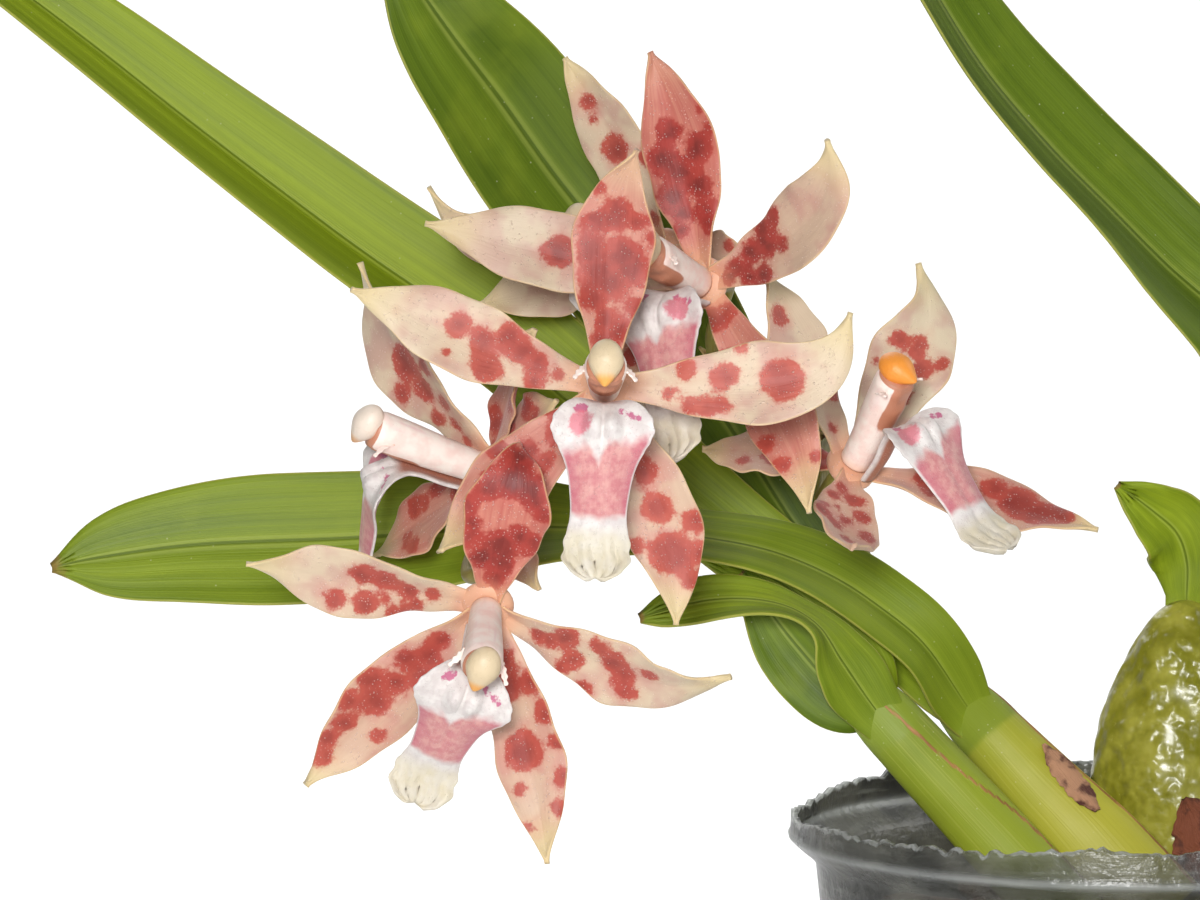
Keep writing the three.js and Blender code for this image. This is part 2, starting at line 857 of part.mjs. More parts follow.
// The midline and facing of one tepal, summed in short steps along its length
function tepalLine([angle, length, , lift, bend, sweep, hook, curl, twist]) {
  const steps = 48;
  const points = [vec([1.2 * Math.cos(rad(angle)), 1.2 * Math.sin(rad(angle)), -0.3])];
  const faces = [];
  for (let i = 0; i <= steps; i++) {
    const t = i / steps;
    const late = ease((t - 0.55) / 0.45);
    const turn = rad(angle + sweep * t + hook * late);
    const tilt = rad(lift + bend * t + curl * late);
    const outward = vec([Math.cos(turn), Math.sin(turn), 0]);
    const along = outward.clone().multiplyScalar(Math.cos(tilt));
    along.z = Math.sin(tilt);
    const up = outward.multiplyScalar(-Math.sin(tilt));
    up.z = Math.cos(tilt);
    faces.push(up.applyAxisAngle(along, rad(twist * t)));
    if (i < steps) points.push(points[i].clone().addScaledVector(along, length / steps));
  }
  const sample = (list) => (t) => {
    const x = clamp01(t) * steps;
    const i = Math.min(steps - 1, Math.floor(x));
    return list[i].clone().lerp(list[i + 1], x - i);
  };
  return { at: sample(points), face: sample(faces) };
}

function tepalShare(t) {
  // A narrow claw, widest past the middle, and a drawn-out tip
  const [claw, peak] = [0.3, 0.56];
  if (t < peak) return claw + (1 - claw) * Math.sin((Math.PI * t) / (2 * peak)) ** 1.7;
  return Math.max(0.09, Math.cos((Math.PI * (t - peak)) / (2 * (1 - peak))) ** 1.15);
}

function tepalGeometry(tepal, k) {
  const { at, face } = tepalLine(tepal);
  const width = tepal[2];
  return blade({
    at,
    face,
    half: (t) => (width / 2) * tepalShare(t),
    fold: (t) => rad(16 - 10 * t),
    ripple: (t, v) => 0.42 * Math.abs(v) ** 2 * Math.sin(9.5 * t + 1.7 * k + Math.sign(v)),
    thickness: TEPAL_THICKNESS,
    rows: 8,
    cols: 4,
  });
}

function starGeometry(tepals) {
  const depth = HUB.front - HUB.back;
  const hub = new THREE.CylinderGeometry(HUB.radius, HUB.radius - 0.6, depth, 8);
  hub.rotateX(Math.PI / 2).translate(0, 0, (HUB.front + HUB.back) / 2);
  return fuse([hub, ...tepals.map(tepalGeometry)]);
}

// Lip: a claw under the column, then a blade that hangs down, with broad side lobes, a waist and a
// notched end. It lies in the bloom's middle plane, so the route is [0, up, forward].
const LIP_ROUTE = [
  [0, -2.75, HUB.front + GAP],
  [0, -2.75, 4.6],
  [0, -2.6, 8.2],
  [0, -3.2, 10.6],
  [0, -6.8, 12.0],
  [0, -11.6, 11.2],
  [0, -16.4, 10.0],
  [0, -20.6, 10.8],
];
const lipHalf = table([
  [0, 1.5],
  [0.27, 1.9],
  [0.36, 4.6],
  [0.44, 5.6],
  [0.54, 4.5],
  [0.7, 3.3],
  [0.84, 3.0],
  [0.94, 3.7],
  [1, 2.8],
]);
const lipFold = table([
  [0, 20],
  [0.3, 18],
  [0.42, 6],
  [0.6, -22],
  [0.85, -12],
  [1, 8],
]);

function lipGeometry() {
  const line = routeThrough(LIP_ROUTE);
  const side = vec([-1, 0, 0]);
  return blade({
    at: (t) => line.getPointAt(t),
    face: (t) => new THREE.Vector3().crossVectors(side, line.getTangentAt(t)),
    half: lipHalf,
    fold: (t) => rad(lipFold(t)),
    ripple: (t, v) => {
      const callus = 1.3 * Math.exp(-(((t - 0.42) / 0.07) ** 2) - (v / 0.3) ** 2);
      return callus + 0.5 * ease((t - 0.8) / 0.2) * Math.sin(5 * v + 1) * v * v;
    },
    thickness: LIP_THICKNESS,
    rows: 9,
    cols: 6,
  });
}

// Column: a stout arched rod with two small wings and a rounded cap
const COLUMN_ROUTE = [
  [0, 0, HUB.front + GAP],
  [0, 0.6, 5],
  [0, 1.5, 10],
  [0, 2.2, COLUMN_LENGTH],
];

function columnGeometry() {
  const line = routeThrough(COLUMN_ROUTE);
  const body = loft({
    at: (t) => line.getPoint(t),
    wide: [1, 0, 0],
    radii: (t) => [1.75 + 0.35 * ease(t), 1.75 + 0.5 * ease(t)],
    rows: 4,
    sides: 8,
  });
  const cap = new THREE.SphereGeometry(1, 8, 6).scale(...CAP.half);
  cap.rotateX(CAP.nod).translate(0, CAP.up, COLUMN_LENGTH + CAP.out);
  const wings = [-1, 1].map((side) =>
    new THREE.BoxGeometry(...WING.size)
      .rotateZ(-WING.tilt * side)
      .translate(WING.side * side, WING.up, COLUMN_LENGTH - WING.back),
  );
  return fuse([body, cap, ...wings]);
}

// Flower stem: it rises behind the front shoot, comes forward past the upper leaf and arches down
// behind the blooms. Each bloom's stalk leaves it in the axil of a small bract.
const STEM_ROUTE = [
  [-4.0, 10.6, 57.2],
  [-5.4, 11.2, 64.0],
  [-9.6, 12.5, 73.6],
  [-15.6, 14.0, 82.0],
  [-22.9, 15.5, 90.4],
  [-29.6, 17.0, 98.9],
  [-32.7, 16.4, 107.5],
  [-34.3, 11.5, 114.4],
  [-36.1, 4.0, 120.3],
  [-38.9, -2.0, 124.5],
  [-43.7, -7.0, 126.9],
  [-49.6, -9.5, 126.2],
  [-56.1, -10.5, 123.8],
  [-63.0, -11.5, 120.8],
  [-67.6, -14.0, 119.0],
  [-71.3, -17.0, 116.0],
  [-73.5, -20.0, 112.7],
];
const STALK_STARTS = {
  bloom_5: 0.47,
  bloom_6: 0.62,
  bloom_2: 0.68,
  bloom_1: 0.8,
  bloom_4: 0.88,
  bloom_3: 0.985,
};

function bloomMatrix({ centre, look, dorsal }) {
  const forward = vec(look).normalize();
  const up = vec(dorsal);
  up.addScaledVector(forward, -up.dot(forward)).normalize();
  const right = new THREE.Vector3().crossVectors(up, forward);
  return new THREE.Matrix4().makeBasis(right, up, forward).setPosition(vec(centre));
}

function stemGeometry() {
  const line = routeThrough(STEM_ROUTE);
  const parts = [rod(STEM_ROUTE, STEM_RADIUS, 6, 20)];
  for (const [name, t] of Object.entries(STALK_STARTS)) {
    const bloom = BLOOMS[name];
    const back = vec([0, 0, HUB.back - GAP]).applyMatrix4(bloomMatrix(bloom));
    const before = vec([0, 0, HUB.back - 5]).applyMatrix4(bloomMatrix(bloom));
    const from = line.getPoint(t);
    const path = [from, ...bloom.route.map(vec), before, back].map((p) => p.toArray());
    parts.push(rod(path, PEDICEL_RADIUS, 5, 7));
    const { radius, length } = BRACT;
    const bract = new THREE.ConeGeometry(radius, length, 5).translate(0, length / 2, 0);
    const away = vec(path[1]).sub(from).normalize();
    const turn = new THREE.Quaternion().setFromUnitVectors(new THREE.Vector3(0, 1, 0), away);
    parts.push(bract.applyQuaternion(turn).translate(from.x, from.y, from.z));
  }
  return fuse(parts);
}

// A dry papery bract on the front shoot's right side, and one at the foot of the front pseudobulb
const DRY_BRACTS = {
  dry_bract_front: {
    at: [
      [-4.6, -7.7, 75.2],
      [-7.4, -5.7, 78.6],
      [-10.6, -3.4, 82.4],
    ],
    face: [0.31, -0.75, 0.58],
    width: 3.6,
  },
  dry_bract_bulb: {
    at: [
      [12.0, -3.2, 63.5],
      [9.6, -3.6, 69.5],
      [6.0, -3.9, 76.0],
    ],
    face: [0.1, -1, 0.1],
    width: 9,
  },
};

function dryGeometry({ at, face, width }) {
  const line = routeThrough(at);
  return blade({
    at: (t) => line.getPointAt(t),
    face: () => vec(face),
    half: (t) => (width / 2) * Math.max(0.1, Math.cos((Math.PI / 2) * t) ** 0.8),
    fold: () => rad(-12),
    ripple: () => 0,
    thickness: DRY_THICKNESS,
    rows: 5,
    cols: 4,
  });
}

// Assembly
place("pot", potGeometry(), COLOURS.pot, root, 0.35);
place("bark", barkGeometry(), COLOURS.bark, root, 0.9);
place("rhizome_roots", rhizomeGeometry(), COLOURS.root, root, 0.8);
place("pseudobulb", bulbGeometry(), COLOURS.bulb);
for (const [name, shoot] of Object.entries(SHOOTS)) {
  place(name, shootGeometry(shoot), COLOURS.sheath);
}
for (const [name, leaf] of Object.entries(LEAVES)) place(name, leafGeometry(leaf), COLOURS.leaf);
for (const [name, bract] of Object.entries(DRY_BRACTS)) {
  place(name, dryGeometry(bract), COLOURS.dry, root, 0.8);
}
place("flower_stem", stemGeometry(), COLOURS.stem);
for (const [name, bloom] of Object.entries(BLOOMS)) {
  const group = new THREE.Group();
  group.applyMatrix4(bloomMatrix(bloom));
  root.add(group);
  place(`${name}_tepals`, starGeometry(bloom.tepals), COLOURS.tepal, group);
  place(`${name}_lip`, lipGeometry(), COLOURS.lip, group);
  place(`${name}_column`, columnGeometry(), COLOURS.column, group);
}

export default root;
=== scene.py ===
"""Looks of a potted oncidium orchid.

Six spotted blooms on an arching stem, leaning fans of strap leaves, a wrinkled bulb and a clear
plastic pot filled with bark. Lengths are millimetres until a mesh is written, which is in metres.
+Z is up, the blooms face -Y and the leaves lean towards -X.
"""

from __future__ import annotations

import logging
import math
from dataclasses import dataclass, field
from enum import Enum
from functools import cache
from typing import Callable

import bpy
import numpy as np
from mathutils import Matrix, Vector


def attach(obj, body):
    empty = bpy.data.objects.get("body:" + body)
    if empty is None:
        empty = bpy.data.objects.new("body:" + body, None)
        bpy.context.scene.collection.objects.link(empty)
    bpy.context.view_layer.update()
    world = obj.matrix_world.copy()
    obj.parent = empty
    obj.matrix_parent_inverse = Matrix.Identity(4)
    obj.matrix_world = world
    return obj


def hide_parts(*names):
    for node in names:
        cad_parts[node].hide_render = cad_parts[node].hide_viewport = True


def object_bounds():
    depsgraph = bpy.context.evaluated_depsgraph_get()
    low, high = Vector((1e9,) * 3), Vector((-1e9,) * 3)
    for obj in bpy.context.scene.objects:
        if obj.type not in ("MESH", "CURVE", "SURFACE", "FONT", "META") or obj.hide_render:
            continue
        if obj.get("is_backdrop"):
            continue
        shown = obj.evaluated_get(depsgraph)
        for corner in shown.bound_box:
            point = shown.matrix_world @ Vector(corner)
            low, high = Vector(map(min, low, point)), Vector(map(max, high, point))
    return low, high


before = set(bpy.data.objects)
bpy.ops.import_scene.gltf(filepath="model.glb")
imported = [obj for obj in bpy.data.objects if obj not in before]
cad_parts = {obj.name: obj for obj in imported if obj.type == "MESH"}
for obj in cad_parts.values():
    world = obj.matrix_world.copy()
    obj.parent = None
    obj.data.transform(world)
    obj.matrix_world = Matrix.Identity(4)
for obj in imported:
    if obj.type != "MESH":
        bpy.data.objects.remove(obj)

Array = np.ndarray
Curve = Callable[[Array], Array]
Colour = tuple[float, float, float, float]
Triple = tuple[float, float, float]
Points = tuple[Triple, ...]
Relief = Callable[[Array, Array], Array]
MM = 0.001
LOG = logging.getLogger("orchid")

# Sizes that the part's solids share
POT_BASE, POT_NECK, POT_LIP = 30.0, 37.3, 40.4
POT_NECK_HEIGHT, POT_LIP_HEIGHT, POT_RIM_HEIGHT = 67.6, 71.3, 75.2
POT_WALL, POT_FLOOR = 0.9, 1.6
BARK_TOP = 59.0
HUB_BACK, HUB_FRONT, HUB_RADIUS = -1.4, 0.8, 3.2
COLUMN_LENGTH = 14.5
BULB_CENTRE, BULB_HALF = np.array([7.3, 6.0, 76.5]), np.array([11.7, 8.5, 22.2])


# Curves


def unit(vectors: Array) -> Array:
    """Scales each vector to length one."""
    return vectors / np.maximum(np.linalg.norm(vectors, axis=-1, keepdims=True), 1e-9)


def ease(x: Array) -> Array:
    """Goes from 0 to 1 with a soft start and end: 3x^2 - 2x^3, held outside 0 and 1."""
    held = np.clip(x, 0.0, 1.0)
    return held * held * (3.0 - 2.0 * held)


def hump(x: Array, middle: float | Array, reach: float) -> Array:
    """Gives a bell of height one: e to the minus square of the distance over the reach."""
    return np.exp(-(((x - middle) / reach) ** 2))


def full_turn(count: int) -> Array:
    """Gives evenly spaced angles round a full turn."""
    return 2 * np.pi * np.arange(count) / count


def table(pairs: list[tuple[float, float]]) -> Curve:
    """Makes a smooth curve through pairs of place and value.

    Between two pairs it is the cubic whose end slopes are those of the chords over the
    neighbouring pairs.

    Args:
        pairs: Places, rising, and their values.

    Returns:
        A function of an array of places.
    """
    places, values = np.array(pairs, float).T
    before = np.maximum(np.arange(len(places)) - 1, 0)
    after = np.minimum(np.arange(len(places)) + 1, len(places) - 1)
    slopes = (values[after] - values[before]) / (places[after] - places[before])

    def curve(t: Array) -> Array:
        """Gives the cubics' values at each place."""
        i = np.clip(np.searchsorted(places, t) - 1, 0, len(places) - 2)
        gap = places[i + 1] - places[i]
        x = np.clip((t - places[i]) / gap, 0.0, 1.0)
        x2, x3 = x * x, x**3
        return (
            values[i] * (2 * x3 - 3 * x2 + 1)
            + slopes[i] * gap * (x3 - 2 * x2 + x)
            + values[i + 1] * (3 * x2 - 2 * x3)
            + slopes[i + 1] * gap * (x3 - x2)
        )

    return curve


class Route:
    """A smooth curve through given points: the uniform Catmull-Rom spline of tension a half."""

    def __init__(self, points: list[Triple] | Array) -> None:
        """Takes the points and measures the curve's length by many short chords.

        Args:
            points: The points that it passes through.
        """
        inner = np.array(points, float)
        first = 2 * inner[0] - inner[1]
        last = 2 * inner[-1] - inner[-2]
        self.knots = np.vstack([first, inner, last])
        self.spans = len(inner) - 1
        self.steps = np.linspace(0.0, 1.0, 401)
        chords = np.linalg.norm(np.diff(self.at(self.steps), axis=0), axis=1)
        self.shares = np.concatenate([[0.0], np.cumsum(chords)]) / chords.sum()
        self.length = float(chords.sum())

    def at(self, t: Array) -> Array:
        """Gives the points at t, which counts even steps from knot to knot.

        Args:
            t: Shares, 0 at the first knot and 1 at the last.

        Returns:
            The points.
        """
        x = np.clip(t, 0.0, 1.0) * self.spans
        i = np.minimum(np.floor(x).astype(int), self.spans - 1)
        w = (x - i)[..., None]
        a, b, c, d = (self.knots[i + k] for k in range(4))
        square = 2 * a - 5 * b + 4 * c - d
        cube = -a + 3 * b - 3 * c + d
        return 0.5 * (2 * b + (c - a) * w + square * w**2 + cube * w**3)

    def along(self, share: Array) -> Array:
        """Gives the points at a share of the curve's length."""
        return self.at(np.interp(share, self.shares, self.steps))


def between(directions: list[Triple]) -> Curve:
    """Makes a direction that passes evenly from each given vector to the next.

    It is the mean of five straight interpolations a little way apart, which rounds the turns.

    Args:
        directions: The vectors, any length.

    Returns:
        The direction by share along.
    """
    vectors = unit(np.array(directions, float))
    places = np.linspace(0.0, 1.0, len(vectors))
    steps = np.linspace(-0.06, 0.06, 5)

    def curve(t: Array) -> Array:
        """Gives the mean of the five interpolations."""
        near = np.asarray(t)[..., None] + steps
        return np.stack([np.interp(near, places, vectors[:, k]).mean(-1) for k in range(3)], -1)

    return curve


def steady(vector: Triple | Array) -> Curve:
    """Makes a direction that is the same all along."""
    return lambda t: np.broadcast_to(np.asarray(vector, float), (len(t), 3))


def heading(midline: Curve, t: Array, step: float = 0.01) -> Array:
    """Gives a midline's direction, from its points a little ahead and a little behind."""
    return unit(midline(np.minimum(t + step, 1.0)) - midline(np.maximum(t - step, 0.0)))


def square_to(vectors: Array, tangent: Array) -> Array:
    """Takes away each vector's part along the tangent and scales the rest to length one."""
    return unit(vectors - tangent * np.sum(vectors * tangent, axis=-1, keepdims=True))


# Surfaces


@dataclass
class Skin:
    """One closed surface of rings, with the numbers that its finish reads at each point.

    points is rows by around by 3, along is the share of the length and across the share of the
    half width, and marks holds any further numbers by name. A column of shares or a row of them
    is spread over the whole grid.
    """

    points: Array
    along: Array
    across: Array
    marks: dict[str, Array] = field(default_factory=dict)

    def __post_init__(self) -> None:
        """Spreads the shares over the grid."""
        shape = self.points.shape[:2]
        self.along, self.across = (np.broadcast_to(g, shape) for g in (self.along, self.across))

    def placed(self, basis: Array, origin: Array) -> Skin:
        """Returns the skin turned by a basis of columns and moved to an origin."""
        return Skin(self.points @ basis.T + origin, self.along, self.across, self.marks)

    def marked(self, **marks: Array | float) -> Skin:
        """Returns the skin with further marks, each a grid or one number."""
        grids = {name: np.broadcast_to(value, self.along.shape) for name, value in marks.items()}
        return Skin(self.points, self.along, self.across, {**self.marks, **grids})

    def faces(self) -> tuple[Array, Array]:
        """Lists the quads between the rings and the triangles that close the two ends.

        Returns:
            The quads and the triangles, by vertex number.
        """
        rows, around = self.along.shape
        ring = np.arange(rows * around).reshape(rows, around)
        following = np.roll(ring, -1, axis=1)
        quads = np.stack([ring[:-1], following[:-1], following[1:], ring[1:]], -1)
        start = np.full(around, rows * around)
        lids = [
            np.stack([following[0], ring[0], start], -1),
            np.stack([ring[-1], following[-1], start + 1], -1),
        ]
        return quads.reshape(-1, 4), np.vstack(lids)

    def vertices(self) -> Array:
        """Lists the ring points row by row, and then the middle of each end."""
        ends = self.points[[0, -1]].mean(axis=1)
        return np.vstack([self.points.reshape(-1, 3), ends])

    def numbers(self, grid: Array) -> Array:
        """Lists a grid's numbers in the order of the vertices."""
        return np.concatenate([grid.ravel(), grid[[0, -1]].mean(axis=1)])


def outward(points: Array, quads: Array, triangles: Array) -> tuple[Array, Array]:
    """Turns the faces round if the volume that they enclose comes out negative.

    Args:
        points: The vertices.
        quads: Four vertices a face.
        triangles: Three vertices a face.

    Returns:
        The quads and the triangles.
    """
    split = np.vstack([quads[:, :3], quads[:, [0, 2, 3]], triangles])
    a, b, c = (points[split[:, k]] for k in range(3))
    if np.einsum("ij,ij->", a, np.cross(b, c)) < 0:
        return quads[:, ::-1], triangles[:, ::-1]
    return quads, triangles


def add_object(name: str, data: bpy.types.ID) -> bpy.types.Object:
    """Makes an object of some data and links it to the scene.

    Args:
        name: Its name.
        data: Its mesh, light or camera.

    Returns:
        The object.
    """
    made = bpy.data.objects.new(name, data)
    bpy.context.scene.collection.objects.link(made)
    return made


def store(mesh: bpy.types.Mesh, name: str, values: Array) -> None:
    """Stores one number by name at each of a mesh's points."""
    attribute = mesh.attributes.new(name, "FLOAT", "POINT")
    attribute.data.foreach_set("value", values.astype(np.float32))


def write_mesh(name: str, skins: list[Skin]) -> bpy.types.Object:
    """Writes skins into one mesh object at the origin.

    Args:
        name: The object's name.
        skins: Closed surfaces, in millimetres.

    Returns:
        The new object, with a UV map named surface and a point attribute for each mark.
    """
    points, loops, starts, surface = [], [], [], []
    marks: dict[str, list[Array]] = {key: [] for skin in skins for key in skin.marks}
    shift = filled = 0
    for skin in skins:
        vertices = skin.vertices()
        quads, triangles = outward(vertices, *skin.faces())
        points.append(vertices)
        loops += [quads.ravel() + shift, triangles.ravel() + shift]
        starts.append(filled + 4 * np.arange(len(quads)))
        filled += quads.size
        starts.append(filled + 3 * np.arange(len(triangles)))
        filled += triangles.size
        shift += len(vertices)
        pair = [skin.numbers(skin.along), (skin.numbers(skin.across) + 1) / 2]
        surface.append(np.stack(pair, -1))
        for key, lists in marks.items():
            lists.append(skin.numbers(skin.marks.get(key, np.zeros(skin.along.shape))))
    corners = np.concatenate(loops)
    firsts = np.concatenate(starts)
    mesh = bpy.data.meshes.new(name)
    mesh.vertices.add(shift)
    mesh.vertices.foreach_set("co", (np.vstack(points) * MM).astype(np.float32).ravel())
    mesh.loops.add(filled)
    mesh.loops.foreach_set("vertex_index", corners.astype(np.int32))
    mesh.polygons.add(len(firsts))
    mesh.polygons.foreach_set("loop_start", firsts.astype(np.int32))
    mesh.polygons.foreach_set("use_smooth", np.full(len(firsts), True))
    mesh.update(calc_edges=True)
    layer = mesh.uv_layers.new(name="surface")
    layer.data.foreach_set("uv", np.vstack(surface)[corners].astype(np.float32).ravel())
    for key, lists in marks.items():
        store(mesh, key, np.concatenate(lists))
    mesh.validate()
    return add_object(name, mesh)


def flat(t: Array, v: Array) -> Array:
    """No relief anywhere."""
    return np.zeros(np.broadcast(t, v).shape)


@dataclass
class Blade:
    """A thin closed blade round a midline.

    A middle point is the midline, plus the sideways direction times the half width times v times
    the cosine of the fold, plus the upward direction times the half width times the rounded size
    of v times the sine of the fold, plus the relief. The skin lies half a thickness to either
    side of the middle, thinning to a rounded margin.
    """

    midline: Curve
    facing: Curve
    half: Curve
    fold: Curve
    thickness: float | Curve
    rows: int
    around: int
    relief: Relief = flat
    crease: float = 0.08
    pull: Relief = flat

    def middle(self, t: Array, v: Array) -> Array:
        """Works out the middle surface.

        Args:
            t: A column of shares of the length.
            v: Shares of the half width, -1 to 1, in a row.

        Returns:
            The points, rows by around by 3.
        """
        tangent = heading(self.midline, t[:, 0])
        up = square_to(self.facing(t[:, 0]), tangent)
        side = np.cross(tangent, up)[:, None]
        half, fold = self.half(t), self.fold(t)
        rounded = np.sqrt(v * v + self.crease**2) - self.crease
        sideways = half * v * np.cos(fold)
        rise = half * rounded * np.sin(fold) + self.relief(t, v)
        centre = self.midline(t[:, 0])[:, None] + self.pull(t, v)[..., None] * tangent[:, None]
        return centre + sideways[..., None] * side + rise[..., None] * up[:, None]

    def skin(self) -> Skin:
        """Builds the closed surface on rings that run over the upper side and back below.

        Returns:
            The skin with the mark upper.
        """
        t = np.linspace(0.0, 1.0, self.rows)[:, None]
        turn = full_turn(self.around)
        v = np.cos(turn)[None]
        middle = self.middle(t, v)
        lengthways = np.gradient(middle, axis=0)
        sideways = self.middle(t, v + 0.03) - self.middle(t, v - 0.03)
        normal = unit(np.cross(sideways, lengthways))
        lift = np.sign(np.sin(turn)) * np.abs(np.sin(turn)) ** 0.55
        thick = self.thickness(t) if callable(self.thickness) else self.thickness
        points = middle + normal * (thick / 2 * lift[None])[..., None]
        return Skin(points, t, v).marked(upper=(np.sin(turn) > -0.01) * 1.0)


@dataclass
class Loft:
    """A closed body of oval rings along a midline.

    A point is the midline plus the wide direction times the first half axis times the cosine of
    the turn, plus the deep direction times the second times its sine, both times one plus the
    relief.
    """

    midline: Curve
    wide: Triple
    radii: Callable[[Array], tuple[Array, Array]]
    rows: int
    around: int
    relief: Relief = flat

    def skin(self) -> Skin:
        """Builds the closed surface.

        Returns:
            The skin; its share across is the cosine of the turn round the ring.
        """
        t = np.linspace(0.0, 1.0, self.rows)
        tangent = heading(self.midline, t)
        wide = square_to(steady(self.wide)(t), tangent)
        deep = np.cross(tangent, wide)
        turn = full_turn(self.around)[None]
        first, second = (np.broadcast_to(r, t.shape)[:, None] for r in self.radii(t))
        swell = 1.0 + self.relief(t[:, None], turn)
        x = (first * np.cos(turn) * swell)[..., None]
        y = (second * np.sin(turn) * swell)[..., None]
        points = self.midline(t)[:, None] + x * wide[:, None] + y * deep[:, None]
        return Skin(points, t[:, None], np.cos(turn)).marked(below=-np.sin(turn))


def dome(half: Array, rows: int, around: int, lift: Relief = flat) -> Skin:
    """Builds a closed egg about the origin, poles on Z.

    A point is the unit sphere's point times the half axes times one plus the lift, which is a
    function of the height from -1 to 1 and of the turn.

    Args:
        half: The three half axes.
        rows: Rings from pole to pole.
        around: Points in a ring.
        lift: The relief, as a share.

    Returns:
        The skin, with along from the bottom to the top.
    """
    tilt = np.linspace(-np.pi / 2 + 0.02, np.pi / 2 - 0.02, rows)[:, None]
    turn = full_turn(around)[None]
    height = np.sin(tilt)
    level = np.cos(tilt) * np.cos(turn), np.cos(tilt) * np.sin(turn)
    ball = np.stack(np.broadcast_arrays(*level, height), -1)
    points = ball * np.asarray(half) * (1.0 + lift(height, turn))[..., None]
    return Skin(points, (height + 1) / 2, np.cos(turn))


def rod(points: Array, radii: Curve, rows: int, around: int) -> Skin:
    """Builds a round rod along a curve, turned so that its map doesn't twist.

    Args:
        points: The curve's points.
        radii: The radius by share along.
        rows: Rings along it.
        around: Points in a ring.

    Returns:
        The skin.
    """
    chord = np.abs(unit(points[-1] - points[0]))
    wide = tuple(np.eye(3)[int(np.argmin(chord))])
    return Loft(Route(points).at, wide, lambda t: (radii(t), radii(t)), rows, around).skin()


def turned(angle: float, axis: str) -> Array:
    """Gives the rotation by an angle in radians about X, Y or Z as a basis of columns."""
    return np.array(Matrix.Rotation(angle, 3, axis))


# Finishes


def screen(red: int, green: int, blue: int) -> Colour:
    """Turns a screen colour of 0 to 255 a channel into the linear colour a shader takes.

    Args:
        red: The red channel.
        green: The green channel.
        blue: The blue channel.

    Returns:
        The linear colour, not see-through.
    """
    shares = (channel / 255 for channel in (red, green, blue))
    linear = [s / 12.92 if s <= 0.04045 else ((s + 0.055) / 1.055) ** 2.4 for s in shares]
    return (linear[0], linear[1], linear[2], 1.0)


@dataclass(frozen=True)
class Signal:
    """A socket whose value varies over a surface; arithmetic on it adds Math nodes."""

    graph: Graph
    socket: bpy.types.NodeSocket

    def _math(self, operation: str, left: object, right: object = 0.0) -> Signal:
        """Adds one Math node."""
        return self.graph.node("ShaderNodeMath", {"operation": operation}, {0: left, 1: right})

    def __add__(self, other: Signal | float) -> Signal:
        """Adds."""
        return self._math("ADD", self, other)

    __radd__ = __add__

    def __sub__(self, other: Signal | float) -> Signal:
        """Takes away."""
        return self._math("SUBTRACT", self, other)

    def __rsub__(self, other: float) -> Signal:
        """Takes this from a number."""
        return self._math("SUBTRACT", other, self)

    def __mul__(self, other: Signal | float) -> Signal:
        """Multiplies."""
        return self._math("MULTIPLY", self, other)

    def size(self) -> Signal:
        """Gives the number without its sign."""
        return self._math("ABSOLUTE", self)

    def least(self, other: Signal | float) -> Signal:
        """Gives the smaller of two numbers."""
        return self._math("MINIMUM", self, other)

    def most(self, other: Signal | float) -> Signal:
        """Gives the larger of two numbers."""
        return self._math("MAXIMUM", self, other)

    def step(self, low: float, high: float) -> Signal:
        """Goes smoothly from 0 at low to 1 at high, or down where high is the smaller.

        Args:
            low: The number that gives 0.
            high: The number that gives 1.

        Returns:
            The step.
        """
        settings = {"interpolation_type": "SMOOTHSTEP", "clamp": True}
        first, last = (0.0, 1.0) if low < high else (1.0, 0.0)
        sockets = {0: self, 1: min(low, high), 2: max(low, high), 3: first, 4: last}
        return self.graph.node("ShaderNodeMapRange", settings, sockets)

    def washed(self, share: Signal | float, red: int, green: int, blue: int) -> Signal:
        """Lays a screen colour over this colour by a share."""
        return self.graph.mix(share, self, screen(red, green, blue))


